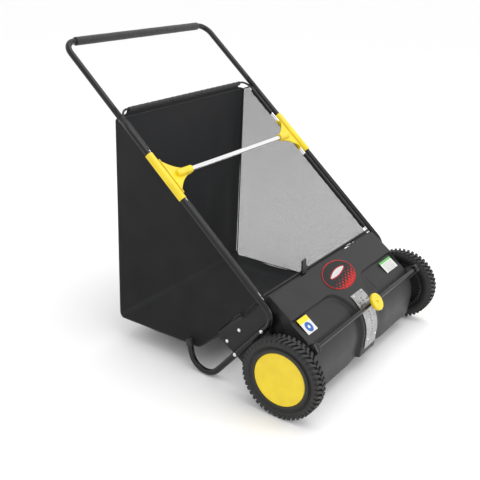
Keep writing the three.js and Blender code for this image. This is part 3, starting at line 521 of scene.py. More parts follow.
# %% Side tubes with their feet
TUBE_X, TUBE_R, TUBE_WALL = 378.0, 10.0, 1.5
JOINT_T, CORNER_T = 706.0, 1023.9
TUBE_CROOK, FOOT_BEND, FOOT_TIP = (62.9, 273.2), (333, -61.4), (373.8, 102)   # (Y, Z) of the corners
CAP = [(4.5, 0), (4.4, 4.6), (3.4, 8.4), (1.4, 11.0), (-1.5, 11.8), (-21.2, 11.8), (-22, 11.2),
       (-22, 10.4), (0.4, 10.4), (0.4, 0)]
for side, sign in (("left", -1), ("right", 1)):
    x = sign * TUBE_X
    lower = [from_axle(x, *corner) for corner in (TUBE_CROOK, FOOT_BEND, FOOT_TIP)]
    route = [on_handle(x, JOINT_T, 0), *lower]
    tube = put("side_tube_" + side, bent_tube(route, [42, 60], TUBE_R), "lower_tube_" + side, tube_coat)
    add_wall(tube, TUBE_WALL)
    way = (route[3] - route[2]).normalized()
    put("foot_plug_" + side, turned(CAP, route[3], 40, way), "foot_cap_" + side, black_plastic)

# %% Upper U with its joint, and the foam grip
JOINT_GAP, U_BEND = 0.6, 45
corners = [on_handle(x, t, 0) for x, t in ((-TUBE_X, JOINT_T + JOINT_GAP), (-TUBE_X, CORNER_T),
                                           (TUBE_X, CORNER_T), (TUBE_X, JOINT_T + JOINT_GAP))]
u_handle = put("u_handle", bent_tube(corners, [U_BEND, U_BEND], TUBE_R), "upper_handle", tube_coat)
add_wall(u_handle, TUBE_WALL)
SPIGOT = [(-50, 6.4), (-50, 7.9), (2, 7.9), (2, 6.4), (-50, 6.4)]
spigots = bmesh.new()
for x in (-TUBE_X, TUBE_X):
    add_to(spigots, turned(SPIGOT, on_handle(x, JOINT_T, 0), 28, UP_HANDLE))
put("u_handle_spigots", spigots, "upper_handle", plate_coat)

grip_centre = on_handle(0, CORNER_T, 0)
half = [(-326, 10.4), (-326, 12.6), (-325, 13.6), (-322.5, 14.0), (-319, 13.9)]
ripple = [(x, half[-1][1] + 0.12 * math.sin(x * 0.045) + 0.06 * math.sin(x * 0.13 + 1))
          for x in range(-310, 311, 10)]
other_half = [(-x, r) for x, r in reversed(half)]
grip_profile = [*half, *ripple, *other_half, half[0]]
grip = put("grip_sleeve", turned(grip_profile, grip_centre, 48), "foam_grip", grip_foam)
print("upper U and grip")

# %% [markdown]
# ## Yellow clips and the spreader
# A moulded clip sits on each side tube: an open sleeve, a flared web and a socket for the
# chromed bar that keeps the tubes apart. It is put together from pushed out outlines, blocks and
# a turned socket, with the soft edges that a moulding has. The bar is a turned tube.

# %% Parts of a clip
CLIP_T0, CLIP_T1, CLIP_R, CLIP_BORE = 380.0, 557.0, 13.4, 10.4
bar_middle = middle_of("spreader_bar")
BAR_T = (bar_middle - on_handle(0, 0, 0)).dot(UP_HANDLE) / MM
BAR_N = (bar_middle - on_handle(0, 0, 0)).dot(OFF_HANDLE) / MM


def curved(start, pull, end, steps=14):
    """Points of a curve from start to end that is pulled towards a third point."""
    shares = [i / steps for i in range(steps + 1)]
    return [tuple((1 - s) ** 2 * a + 2 * s * (1 - s) * b + s * s * c for a, b, c in zip(start, pull, end))
            for s in shares]


def handle_block(x0, x1, t0, t1, n0, n1, soften):
    """A block laid out in the handle's own directions, with its edges rounded."""
    corners = [on_handle(x, t, n0) for x, t in ((x0, t0), (x1, t0), (x1, t1), (x0, t1))]
    bm = pushed_out(corners, OFF_HANDLE * (n1 - n0) * MM)
    soften_edges(bm, bm.edges[:], soften, 3)
    return bm


# the sleeve is a C: it leaves the tube free towards the outside and below
open_from, open_to = math.radians(-21.9), math.radians(243.4)
turns = [open_from + (open_to - open_from) * i / 30 for i in range(31)]
c_section = [(TUBE_X + CLIP_R * math.cos(a), CLIP_R * math.sin(a)) for a in turns]
c_section += [(TUBE_X + CLIP_BORE * math.cos(a), CLIP_BORE * math.sin(a)) for a in reversed(turns)]
WEB_T0, WEB_T1, WEB_X, WEB_HALF, WEB_WAIST = 408, 524, 357, 12.6, 21
web_outline = [*curved((WEB_X, WEB_T0), (322, BAR_T - WEB_WAIST), (283, BAR_T - WEB_HALF)),
               (271, BAR_T - WEB_HALF), (271, BAR_T + WEB_HALF),
               *curved((283, BAR_T + WEB_HALF), (322, BAR_T + WEB_WAIST), (WEB_X, WEB_T1))]
SOCKET = [(292, 0), (292, 8.4), (265.6, 8.4), (265.6, 11.7), (266.4, 12.5), (318, 12.5), (326, 11.4),
          (333, 8), (337, 0)]
print("clip on the tube from", CLIP_T0, "to", CLIP_T1, "bar at", round(BAR_T, 1), round(BAR_N, 1))

# %% Clips and spreader bar
for side in ("left", "right"):
    section = [on_handle(x, CLIP_T0, n) for x, n in c_section]
    clip = pushed_out(section, UP_HANDLE * (CLIP_T1 - CLIP_T0) * MM)
    soften_edges(clip, edges_across(clip, UP_HANDLE), 0.6, 2)
    web = pushed_out([on_handle(x, t, 0) for x, t in web_outline], OFF_HANDLE * 5.4 * MM)
    soften_edges(web, edges_across(web, OFF_HANDLE), 1.3, 3)
    add_to(clip, web)
    # the wall of the rod's groove and the groove's floor
    add_to(clip, handle_block(353.6, 356.8, 400, 531, -10.1, 4.6, 0.6))
    add_to(clip, handle_block(353.6, 369.5, 396, 541, -10.1, -6.4, 0.6))
    add_to(clip, turned(SOCKET, on_handle(0, BAR_T, BAR_N), 40))
    if side == "left":
        flip_to_left(clip)
    put("clip_" + side, clip, "clip_bracket_" + side, yellow_plastic, sharp=34)
low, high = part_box("spreader_bar")
bar_half = (high.x - low.x) / 2 / MM
spreader = turned(open_tube(bar_half, 8.0, 0.5, 0.4, 6.8), bar_middle, 48)
put("chrome_spreader", spreader, "spreader_bar", bright_chrome)
print("spreader bar", round(2 * bar_half), "mm long")

# %% [markdown]
# ## Hood
# The hood is one pressed sheet: a flat slope that runs into a round nose about the brush, with
# a panel pressed in on each side of the raised middle band, deepest along its edge. A grid is
# laid out with its rows along the slope and nose, each row is put in place, and the panels are
# pushed in by a depth that rises smoothly over a wall a few millimetres wide. Solidify gives
# the sheet its gauge.

# %% Line of the hood from its rear edge to the lip under the nose
BAND_R = 134.5
TANGENT_DEG, NOSE_DEG = 125.7, 188.0
HOOD_HALF, SHEET = 346.0, 2.5
PANEL_DEPTH, PANEL_DIP, PANEL_START, BAND_HALF = 7.0, 4.4, 92.0, 54.0
PANEL_WALL, DIP_REACH, CORNER_X, CORNER_S = 8, 70, 70, 106
hood_rear = from_axle(0, 102, 326)
hood_bend = around_brush(0, BAND_R, TANGENT_DEG)
nose_end = around_brush(0, BAND_R, NOSE_DEG)
hood_lip = from_axle(0, -72, 52)
slope_run = (hood_bend - hood_rear).length / MM
nose_run = math.radians(NOSE_DEG - TANGENT_DEG) * BAND_R
lip_run = (hood_lip - nose_end).length / MM


def hood_line(s):
    """Point and outward direction of the hood's skin at s millimetres from its rear edge."""
    if s <= slope_run:
        return hood_rear.lerp(hood_bend, s / slope_run), TANGENT_DEG
    if s <= slope_run + nose_run:
        degrees = TANGENT_DEG + math.degrees((s - slope_run) / BAND_R)
        return around_brush(0, BAND_R, degrees), degrees
    down = hood_lip - nose_end
    degrees = 180 + math.degrees(math.atan2(down.y, -down.z))
    return nose_end + down * (s - slope_run - nose_run) / lip_run, degrees


def smooth_step(t):
    t = min(1.0, max(0.0, t))
    return t * t * (3 - 2 * t)


def press_depth(x, s):
    """How far the panels are pressed in; their upper inner corner is a wide round."""
    in_x, in_s = abs(x) - BAND_HALF, s - PANEL_START
    inside = min(in_x, in_s)
    if in_x < CORNER_X and in_s < CORNER_S:
        off_corner = math.hypot(1 - max(in_x, 0) / CORNER_X, 1 - max(in_s, 0) / CORNER_S)
        inside = min(inside, (1 - off_corner) * CORNER_X)
    wall = smooth_step(inside / PANEL_WALL)
    return wall * (PANEL_DEPTH + PANEL_DIP * (1 - smooth_step((inside - PANEL_WALL) / DIP_REACH)))


print("slope", round(slope_run), "nose", round(nose_run), "lip", round(lip_run), "mm")

# %% Press the hood
hood_grid = bmesh.new()
bmesh.ops.create_grid(hood_grid, x_segments=230, y_segments=150, size=1)
hood_length = slope_run + nose_run + lip_run
for vert in hood_grid.verts:
    x, s = vert.co.x * HOOD_HALF, (vert.co.y + 1) / 2 * hood_length
    point, degrees = hood_line(s)
    angle = math.radians(degrees)
    inward = -Vector((0, math.cos(angle), math.sin(angle)))
    vert.co = point + Vector((x * MM, 0, 0)) + inward * press_depth(x, s) * MM
bmesh.ops.recalc_face_normals(hood_grid, faces=hood_grid.faces[:])
if sum((face.normal.z for face in hood_grid.faces)) < 0:
    bmesh.ops.reverse_faces(hood_grid, faces=hood_grid.faces[:])
hood_skin = put("hood_pressing", hood_grid, "hood", hood_coat, sharp=60)
add_wall(hood_skin, SHEET)
print("hood", len(hood_skin.data.polygons), "faces")

# %% [markdown]
# ## Side plates
# An end plate closes the housing on each side, and a cranked bracket outside it carries the
# tube. Both are cut from sheet, so a copy with its cut edges rounded is the right thing.

# %% End plates and brackets
for side in ("left", "right"):
    for name, node, finish in (("housing_side_", "end_plate_", hood_coat),
                               ("cranked_bracket_", "side_bracket_", plate_coat)):
        round_edges(put(name + side, copied(node + side), node + side, finish), 0.5)
print("end plates and brackets")

# %% [markdown]
# ## Bolts and bushings
# The bolts have low domed heads and a hexagon nut behind the plate. Each is a turned profile
# with a six-sided nut added, and it is a shape of few faces, because there are eight of them.

# %% Bolts
def hexagon(x0, x1, centre, size):
    bm = bmesh.new()
    place = Matrix.Translation(centre + Vector((x0 * MM, 0, 0))) @ Matrix.Rotation(math.pi / 2, 4, "Y")
    bmesh.ops.create_circle(bm, cap_ends=True, segments=6, radius=size * MM, matrix=place)
    grown = bmesh.ops.extrude_face_region(bm, geom=bm.faces[:], use_keep_orig=True)["geom"]
    bmesh.ops.translate(bm, verts=made_of(bmesh.types.BMVert, grown), vec=Vector(((x1 - x0) * MM, 0, 0)))
    bmesh.ops.recalc_face_normals(bm, faces=bm.faces[:])
    return bm


HEAD = 3.6
SPACER = [(349.3, 3.2), (349.3, 6.5), (364.4, 6.5), (364.4, 3.2), (349.3, 3.2)]
for place in ("tube_bolt_front", "tube_bolt_rear", "plate_bolt_upper", "plate_bolt_lower"):
    for side in ("left", "right"):
        low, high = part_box(f"{place}_right")
        middle = Vector((0, (low.y + high.y) / 2, (low.z + high.z) / 2))
        x0, x1 = low.x / MM, high.x / MM
        bolt = turned([(x0, 0), (x0, 2.6), (x0 + 0.4, 3.0), (x1 - HEAD, 3.0), (x1 - HEAD, 6.5),
                       (x1 - HEAD + 0.6, 6.5), (x1 - 1.8, 5.6), (x1 - 0.6, 3.6), (x1, 0)], middle, 24)
        add_to(bolt, hexagon(x0 + 0.4, x0 + 4.0, middle, 6.0))
        if place.startswith("plate"):
            add_to(bolt, turned(SPACER, middle, 24))
        if side == "left":
            flip_to_left(bolt)
        put(f"{place}_{side}_zinc", bolt, f"{place}_{side}", bolt_zinc)
for side in ("left", "right"):
    node = "shaft_bushing_" + side
    round_edges(put("brush_bushing_" + side, copied(node), node, black_plastic), 0.4)
print("bolts and bushings")

# %% [markdown]
# ## Strap, screws and hook tab
# A perforated strap is screwed over the nose. The pin of the height lock drops into one of its
# holes, which sets how low the brush reaches.

# %% Strap, screws and hook tab
put("height_strap", copied("strap"), "strap", galvanised, sharp=25)
for letter in "abcd":
    node = "strap_screw_" + letter
    put("strap_screw_head_" + letter, copied(node), node, bolt_zinc, sharp=30)
TAB_SIZE, TAB_LEAN_DEG = (24.0, 7.0, 62.0), -6
tab = bmesh.new()
bmesh.ops.create_cube(tab, size=1)
bmesh.ops.scale(tab, vec=Vector(TAB_SIZE) * MM, verts=tab.verts[:])
soften_edges(tab, tab.edges[:], 2.8, 4)
lean = Matrix.Rotation(math.radians(TAB_LEAN_DEG), 4, "Y")
bmesh.ops.transform(tab, matrix=Matrix.Translation(middle_of("bag_hook_tab")) @ lean, verts=tab.verts[:])
put("bag_hook_rubber", tab, "bag_hook_tab", black_plastic)

# %% [markdown]
# ## Badge and labels
# The badge is a crowned oval plate with a red ring, rows of red dots that grow together towards
# one side, and a plain leaf. The two labels are printed card: a coloured band above a pale
# field, with a ring on one and a few grey bars on the other. Their print is worked out from the
# place on the label, with a Mapping node that moves and turns it onto the slope of the hood.

# %% Oval plates on the slope
slope_out = Vector((0, math.cos(math.radians(TANGENT_DEG)), math.sin(math.radians(TANGENT_DEG))))
slope_up = Vector((0, slope_out.z, -slope_out.y))
badge_place = hood_line((102 - 53) / slope_up.y)[0]
slope_turn = Matrix((ACROSS, slope_up, slope_out)).transposed().to_4x4()
RED, PALE, BLACK = (0.50, 0.012, 0.010), (0.68, 0.68, 0.66), (0.013, 0.013, 0.014)
badge_red = new_finish("badge_red", (0.40, 0.010, 0.010), 0.30, Specular_IOR_Level=0.2)
add_patches(badge_red, 60, (0.36, 0.010, 0.010), (0.48, 0.016, 0.014), rough=(0.2, 0.3))
badge_pale = new_finish("badge_pale", (0.56, 0.56, 0.56), 0.4, Specular_IOR_Level=0.2)
add_patches(badge_pale, 80, (0.52, 0.52, 0.52), (0.60, 0.60, 0.60), rough=(0.35, 0.46))


def stacked_rings(levels, segments=96, close=True):
    """levels are (half length, half width, height) in millimetres, from the edge inwards."""
    bm = bmesh.new()
    bmesh.ops.create_circle(bm, cap_ends=False, segments=segments, radius=1)
    turns = [math.atan2(vert.co.y, vert.co.x) for vert in bm.verts]
    ring_verts, ring = bm.verts[:], bm.edges[:]
    for level, (a, b, height) in enumerate(levels):
        if level:
            ring_verts, ring = grown_ring(bm, ring)
            turns = [math.atan2(v.co.y / last[1], v.co.x / last[0]) for v in ring_verts]
        for vert, turn in zip(ring_verts, turns):
            vert.co = Vector((a * math.cos(turn), b * math.sin(turn), height)) * MM
        last = (a * MM, b * MM)
    if close:
        bmesh.ops.contextual_create(bm, geom=ring)
    else:
        bmesh.ops.remove_doubles(bm, verts=bm.verts[:], dist=1e-7)
    bmesh.ops.recalc_face_normals(bm, faces=bm.faces[:])
    return bm


def on_slope(bm):
    bmesh.ops.transform(bm, matrix=Matrix.Translation(badge_place) @ slope_turn, verts=bm.verts[:])
    return bm


RING = [(92.2, 51.2, 0.9), (91.8, 50.8, 1.7), (89.0, 48.0, 1.75), (88.6, 47.6, 1.2), (92.2, 51.2, 0.9)]
put("badge_ring", on_slope(stacked_rings(RING, close=False)), "badge", badge_red)


def thin_shape(outline, low, high):
    """A flat shape between two heights on the slope, from its outline in millimetres."""
    return pushed_out([Vector((x, y, low)) * MM for x, y in outline], Vector((0, 0, (high - low) * MM)))


side_of_leaf = [(-52 + 5.2 * i, 11 * math.sin(math.pi * i / 20) ** 0.8) for i in range(21)]
for name, grow, finish, low, high in (("badge_leaf_edge", 3.2, badge_red, 1.0, 1.8),
                                      ("badge_leaf", 0.0, badge_pale, 1.2, 2.1)):
    leaf = [(x * (1 + grow / 60), y + grow + 8 + x * 0.12) for x, y in side_of_leaf]
    leaf += [(x * (1 + grow / 60), 8 - grow - 0.7 * y + x * 0.12) for x, y in reversed(side_of_leaf[1:-1])]
    put(name, on_slope(thin_shape(leaf, low, high)), "badge", finish)
print("badge ring and leaf")

# %% Printed labels
def print_places(finish, centre):
    """Sockets for the distances across and up the slope from the middle of a label."""
    place = add_node(finish, "ShaderNodeTexCoord")
    mapping = add_node(finish, "ShaderNodeMapping", vector_type="TEXTURE")
    mapping.inputs["Location"].default_value = centre
    mapping.inputs["Rotation"].default_value = (math.atan2(slope_up.z, slope_up.y), 0, 0)
    wire(finish, place.outputs["Object"], mapping.inputs["Vector"])
    apart = add_node(finish, "ShaderNodeSeparateXYZ")
    wire(finish, mapping.outputs["Vector"], apart.inputs["Vector"])
    return apart.outputs["X"], apart.outputs["Y"]


def print_over(finish, mask, colour, under):
    """The colours of a print whose mask lets colour cover what is under it."""
    mix = add_node(finish, "ShaderNodeMix", data_type="RGBA")
    wire(finish, mask, mix.inputs["Factor"])
    if isinstance(under, tuple):
        mix.inputs[6].default_value = (*under, 1)
    else:
        wire(finish, under, mix.inputs[6])
    mix.inputs[7].default_value = (*colour, 1)
    return mix.outputs[2]


def dots(finish, across, up, pitch):
    """Distance from the nearest point of a square lattice."""
    squares = []
    for place in (across, up):
        off = combine(finish, "PINGPONG", place, pitch / 2)
        squares.append(combine(finish, "MULTIPLY", off, off))
    return combine(finish, "SQRT", combine(finish, "ADD", *squares))


def mixed(finish, first, share, second, other_share, operation="ADD"):
    """The sum or difference of two sockets, each times its share."""
    return combine(finish, operation, combine(finish, "MULTIPLY", first, share),
                   combine(finish, "MULTIPLY", second, other_share))


badge_black = new_finish("badge_black", (0.012, 0.012, 0.013), 0.30, Specular_IOR_Level=0.2)
across, up = print_places(badge_black, badge_place)
# the lattice of dots stands askew, and the dots grow towards the lower right
DOT_PITCH, DOT_COS, DOT_SIN = 0.0135, 0.77, 0.64
lean = mixed(badge_black, across, DOT_COS, up, DOT_SIN)
rise = mixed(badge_black, up, DOT_COS, across, DOT_SIN, "SUBTRACT")
growth = combine(badge_black, "SUBTRACT", mixed(badge_black, across, 0.040, up, 0.170, "SUBTRACT"), 0.0004)
dotted = combine(badge_black, "LESS_THAN", dots(badge_black, lean, rise, DOT_PITCH), growth)
wire(badge_black, print_over(badge_black, dotted, RED, BLACK), shader_of(badge_black).inputs["Base Color"])
add_grain(badge_black, 500, 0.01)
PLATE = [(93, 52, 0.3), (93, 52, 0.9), (92.6, 51.6, 1.2), (80, 44, 1.3), (52, 28, 1.38), (20, 10, 1.4)]
put("badge_plate", on_slope(stacked_rings(PLATE)), "badge", badge_black)

for side, band_colour in (("left", (0.85, 0.66, 0.02)), ("right", (0.12, 0.42, 0.10))):
    low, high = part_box("label_" + side)
    card = new_finish("card_" + side, (0.8, 0.8, 0.8), 0.45)
    across, up = print_places(card, (low + high) / 2)
    half_up = (high - low).yz.length / 2
    band = combine(card, "GREATER_THAN", up, half_up * (0.36 if side == "left" else 0.62))
    colours = print_over(card, band, band_colour, PALE)
    if side == "left":
        lowered = combine(card, "ADD", up, half_up * 0.28)
        reach = combine(card, "SQRT", mixed(card, across, across, lowered, lowered))
        for radius, colour in ((0.0165, (0.02, 0.11, 0.42)), (0.0055, PALE)):
            colours = print_over(card, combine(card, "LESS_THAN", reach, radius), colour, colours)
    else:
        rows = combine(card, "LESS_THAN", combine(card, "PINGPONG", up, 0.0022), 0.0007)
        low_part = combine(card, "LESS_THAN", up, half_up * 0.45)
        inside = combine(card, "LESS_THAN", combine(card, "ABSOLUTE", across), 0.034)
        bars = combine(card, "MULTIPLY", rows, combine(card, "MULTIPLY", low_part, inside))
        colours = print_over(card, bars, (0.25, 0.25, 0.25), colours)
    wire(card, colours, shader_of(card).inputs["Base Color"])
    add_grain(card, 900, 0.01)
    put("printed_label_" + side, copied("label_" + side), "label_" + side, card)
print("two labels")

# %% [markdown]
# ## Height yoke and its lock
# Two arms pivot about the brush and carry the wheels; a tube joins them in front of the hood.
# The yellow knob pulls a pin out of the strap so that the yoke can be set to another height.
# The knob is a ring of edges pushed outwards level by level: a neck, a rim with twelve finger
# lobes and a dished face with a hole in the middle.

# %% Arms and tube
BAR_R, BAR_DEG = 154, 142.6
for side in ("left", "right"):
    put("yoke_arm_steel_" + side, copied("yoke_arm_" + side), "yoke_arm_" + side, dark_steel)
yoke_tube = turned(open_tube(370, 6.5, 0.4, 0.4, 5), around_brush(0, BAR_R, BAR_DEG), 32)
put("yoke_tube", yoke_tube, "yoke_bar", tube_coat)
put("lock_pin_zinc", copied("lock_pin"), "lock_pin", bolt_zinc)
print("yoke arms, tube and pin")

# %% Knob
lock_way = (around_brush(0, 1000, BAR_DEG) - BRUSH).normalized()
lock_turn = Matrix((ACROSS, lock_way.cross(ACROSS), lock_way)).transposed().to_4x4()
LOBES = 12
# height from the brush axis, radius and how deep the finger lobes are, in millimetres
knob_levels = [(164, 10.6, 0), (164.6, 11, 0), (170.6, 11, 0), (171, 13, 0), (171, 24.4, 0.2),
               (171.6, 26.8, 0.4), (173.6, 28.4, 0.6), (181.2, 28.4, 0.6), (183.2, 26.8, 0.4),
               (184, 24.4, 0.2), (184, 20.4, 0), (182.8, 18.8, 0), (182.5, 5.4, 0), (181.6, 4.6, 0), (178.9, 4.6, 0)]
knob = bmesh.new()
bmesh.ops.create_circle(knob, cap_ends=True, segments=LOBES * 8, radius=1)
ring_verts, ring_edges = knob.verts[:], knob.edges[:]
for level, (height, radius, lobe) in enumerate(knob_levels):
    if level:
        ring_verts, ring_edges = grown_ring(knob, ring_edges)
    for vert in ring_verts:
        turn = math.atan2(vert.co.y, vert.co.x)
        reach = (radius + lobe * math.cos(LOBES * turn)) * MM
        vert.co = Vector((reach * math.cos(turn), reach * math.sin(turn), height * MM))
bmesh.ops.contextual_create(knob, geom=ring_edges)
bmesh.ops.recalc_face_normals(knob, faces=knob.faces[:])
bmesh.ops.transform(knob, matrix=Matrix.Translation(BRUSH) @ lock_turn, verts=knob.verts[:])
put("yellow_knob", knob, "lock_knob", yellow_plastic, sharp=40)
print("knob", len(knob_levels), "levels")

# %% [markdown]
# ## Wheels
# The tyre is a turned carcass with two staggered rows of slanted blocks. One block is a small
# tapered box with its edges bevelled, and copies of it are turned round the axle. The rim is a
# deep moulding with a toothed ring inside, and the yellow cover is a shallow dish with a
# rounded rim.

# %% Tread block
TYRE_R, CARCASS_R = 127.0, 120.4
ROW_BLOCKS = 48
TREAD_X, BLOCK_SLANT = 420.7, 0.40


def tread_block(inner):
    """One block of the inner or outer row, standing over the axle at the top of the wheel."""
    bm = bmesh.new()
    bmesh.ops.create_cube(bm, size=1)
    for vert in bm.verts:
        out, up, lead = vert.co.x > 0, vert.co.z > 0, vert.co.y
        across = (22.6 if up else 25.0) if out else 0.4
        height = (TYRE_R - CARCASS_R - (1.2 if out else 0)) if up else (-10.0 if out else -2.0)
        width = 8.8 if up else 10.2
        vert.co = Vector((across, lead * width + across * BLOCK_SLANT, height))
    # the block is scaled down to metres at the end, and its foot is left sharp
    upper = [e for e in bm.edges if e.verts[0].co.z > 0 or e.verts[1].co.z > 0]
    bmesh.ops.bevel(bm, geom=upper, offset=0.7, segments=1, profile=0.5, affect="EDGES", material=-1)
    if inner:
        bmesh.ops.scale(bm, vec=(-1, 1, 1), verts=bm.verts[:])
        bmesh.ops.reverse_faces(bm, faces=bm.faces[:])
    bmesh.ops.scale(bm, vec=(MM, MM, MM), verts=bm.verts[:])
    return bm


print(ROW_BLOCKS, "blocks in a row")

# %% Tyre
CARCASS = [(400.8, 92.7), (398.2, 93.6), (396.4, 96.6), (395.0, 102), (394.8, 108), (395.6, 113), (397.6, 117),
           (400.6, 119.6), (406, 120.4), (435, 120.4), (440.4, 119.2), (443.4, 116.4), (445.0, 112.6),
           (445.2, 109), (443.8, 105.6), (441.2, 102.6), (439.6, 100), (440.0, 97.8), (442.2, 96.8),
           (444.6, 96.2), (445.0, 94.6), (444.6, 93.0), (441.2, 92.7), (400.8, 92.7)]
axle_middle = Vector((0, AXLE.y, AXLE.z))
for side in ("left", "right"):
    tyre = turned(CARCASS, axle_middle, 120)
    for inner in (True, False):
        block = tread_block(inner)
        for i in range(ROW_BLOCKS):
            turn = 2 * math.pi * (i + (0.5 if inner else 0)) / ROW_BLOCKS
            spot = Matrix.Translation((0, 0, CARCASS_R * MM))
            place = Matrix.Translation((TREAD_X * MM, AXLE.y, AXLE.z)) @ Matrix.Rotation(turn, 4, "X") @ spot
            turned_block = block.copy()
            bmesh.ops.transform(turned_block, matrix=place, verts=turned_block.verts[:])
            add_to(tyre, turned_block)
        block.free()
    if side == "left":
        flip_to_left(tyre)
    put("tyre_treaded_" + side, tyre, "tyre_" + side, tyre_rubber, sharp=35)
print("tyres with", 2 * ROW_BLOCKS, "blocks each")

# %% Rim with its toothed ring
RIM = [(394.8, 6.8), (394.8, 14), (395.6, 15), (416, 15), (418, 17), (418, 86), (415, 89), (398, 90.4),
       (397, 91), (397, 92.3), (444, 92.3), (444, 85.2), (443.4, 84.6), (442, 84.6), (441.4, 85.2), (441.2, 88.6), (426, 88.4),
       (424, 86.6), (422, 17), (423, 15), (431.5, 15), (431.5, 6.8), (394.8, 6.8)]
TEETH, PITCH_R, RING_R = 40, 80.0, 88.6


def toothed_ring(x0, x1):
    bm = bmesh.new()
    centre = Matrix.Translation((x0 * MM, AXLE.y, AXLE.z)) @ Matrix.Rotation(math.pi / 2, 4, "Y")
    inner = bmesh.ops.create_circle(bm, segments=4 * TEETH, radius=PITCH_R * MM)["verts"]
    bmesh.ops.create_circle(bm, segments=4 * TEETH, radius=RING_R * MM)
    for i, vert in enumerate(inner):
        reach = PITCH_R + (3.4 if i % 4 in (1, 2) else -2.4)
        vert.co = vert.co.normalized() * reach * MM
    bmesh.ops.bridge_loops(bm, edges=bm.edges[:])
    grown = bmesh.ops.extrude_face_region(bm, geom=bm.faces[:], use_keep_orig=True)["geom"]
    bmesh.ops.translate(bm, verts=made_of(bmesh.types.BMVert, grown), vec=(0, 0, (x1 - x0) * MM))
    bmesh.ops.recalc_face_normals(bm, faces=bm.faces[:])
    bmesh.ops.transform(bm, matrix=centre, verts=bm.verts[:])
    return bm


for side in ("left", "right"):
    rim = turned(RIM, axle_middle, 96)
    add_to(rim, toothed_ring(398, 418.5))
    if side == "left":
        flip_to_left(rim)
    put("rim_" + side, rim, "wheel_rim_" + side, black_plastic, sharp=30)
print("rims with", TEETH, "teeth")

# %% Yellow wheel covers
COVER = [(424.2, 83.2), (441.6, 83.4), (442.9, 83.0), (443.6, 82.0), (443.4, 80.9), (442.6, 80.2), (442.1, 79.4),
         (440.9, 72), (439.6, 62), (438.2, 50), (437.1, 37), (436.2, 24), (435.7, 12), (435.6, 0), (434.3, 0),
         (434.4, 12), (434.9, 24), (435.8, 37), (436.9, 50), (438.3, 62), (439.6, 72), (440, 80.2),
         (424.2, 80.4), (424.2, 83.2)]
for side in ("left", "right"):
    cover = turned(COVER, axle_middle, 128)
    if side == "left":
        flip_to_left(cover)
    put("wheel_cover_" + side, cover, "hub_cap_" + side, yellow_plastic, sharp=40)
print("wheel covers")

# %% [markdown]
# ## Brush
# Four strips of stiff fibre spiral slightly round a core. Each strip is a bar with tufts of
# filaments that lean a little, each its own way; a filament is a three-sided needle, because
# there are thousands of them. The lean comes from sines, so every run gives the same brush.

# %% Shaft and pinions
SHAFT = [(-412, 0), (-411.2, 7.2), (-410.4, 8), (-322, 8), (-322, 21), (-321, 22), (321, 22), (322, 21),
         (322, 8), (410.4, 8), (411.2, 7.2), (412, 0)]
put("brush_core", turned(SHAFT, BRUSH, 40), "brush_shaft", dark_steel)
for side in ("left", "right"):
    round_edges(put("brush_pinion_" + side, copied("pinion_" + side), "pinion_" + side, black_plastic), 0.3)

# %% Fibre strips
TWIST, START_TURN = 0.35, 0.4
FIBRE_HALF = 317.0
TUFTS, FILAMENTS = 58, 9


def strip_ways(row, share):
    """The ways out of the brush and sideways at a share of a strip's length."""
    turn = row * math.pi / 2 + TWIST * (share - 0.5) + START_TURN
    return Vector((0, math.cos(turn), math.sin(turn))), Vector((0, -math.sin(turn), math.cos(turn)))


for row in range(4):
    strip = bmesh.new()
    bmesh.ops.create_cube(strip, size=1)
    long_edges = [e for e in strip.edges if abs((e.verts[0].co - e.verts[1].co).x) > 0.5]
    bmesh.ops.subdivide_edges(strip, edges=long_edges, cuts=11, use_grid_fill=True)
    for vert in strip.verts:
        out, aside = strip_ways(row, vert.co.x + 0.5)
        width, reach = (5.6, 23.2) if vert.co.z < 0 else (4.2, 41.0)
        along, beside = vert.co.x * 2 * FIBRE_HALF, vert.co.y * 2 * width
        vert.co = BRUSH + (ACROSS * along + out * reach + aside * beside) * MM
    bmesh.ops.recalc_face_normals(strip, faces=strip.faces[:])
    for tuft in range(TUFTS):
        share = (tuft + 0.5) / TUFTS
        out, aside = strip_ways(row, share)
        root = BRUSH + ACROSS * (share - 0.5) * 2 * FIBRE_HALF * MM + out * 38 * MM
        for filament in range(FILAMENTS):
            jitter = Vector((math.sin(tuft * 7.1 + filament * 2.4), math.cos(tuft * 3.7 + filament * 5.3), 0))
            lean = ACROSS * jitter.x * 6.0 * MM + aside * jitter.y * 5.5 * MM
            foot = root + ACROSS * jitter.y * 2.4 * MM + aside * jitter.x * 2.4 * MM
            length = (78.5 - 2.0 * abs(jitter.x)) * MM
            way = (out * length + lean).normalized()
            turn = way.to_track_quat("Z", "X").to_matrix().to_4x4()
            place = Matrix.Translation(foot + way * length / 2) @ turn
            bmesh.ops.create_cone(strip, cap_ends=True, segments=3, radius1=0.95 * MM, radius2=0.6 * MM,
                                  depth=length, matrix=place)
    put(f"fibre_strip_{row + 1}", strip, f"bristle_row_{row + 1}", brush_fibre)
print(4 * TUFTS * FILAMENTS, "filaments")

# %% [markdown]
# ## Bag
# The bag hangs from a steel rod that runs round under the handle tubes. One length of coated
# cloth makes its floor and back, and an open mesh closes each side. The floor and back are a
# grid whose rows follow the bag's line, which is then sagged, bulged and creased by moving its
# points, because a sheet under tension creases little and a cloth simulation adds nothing.

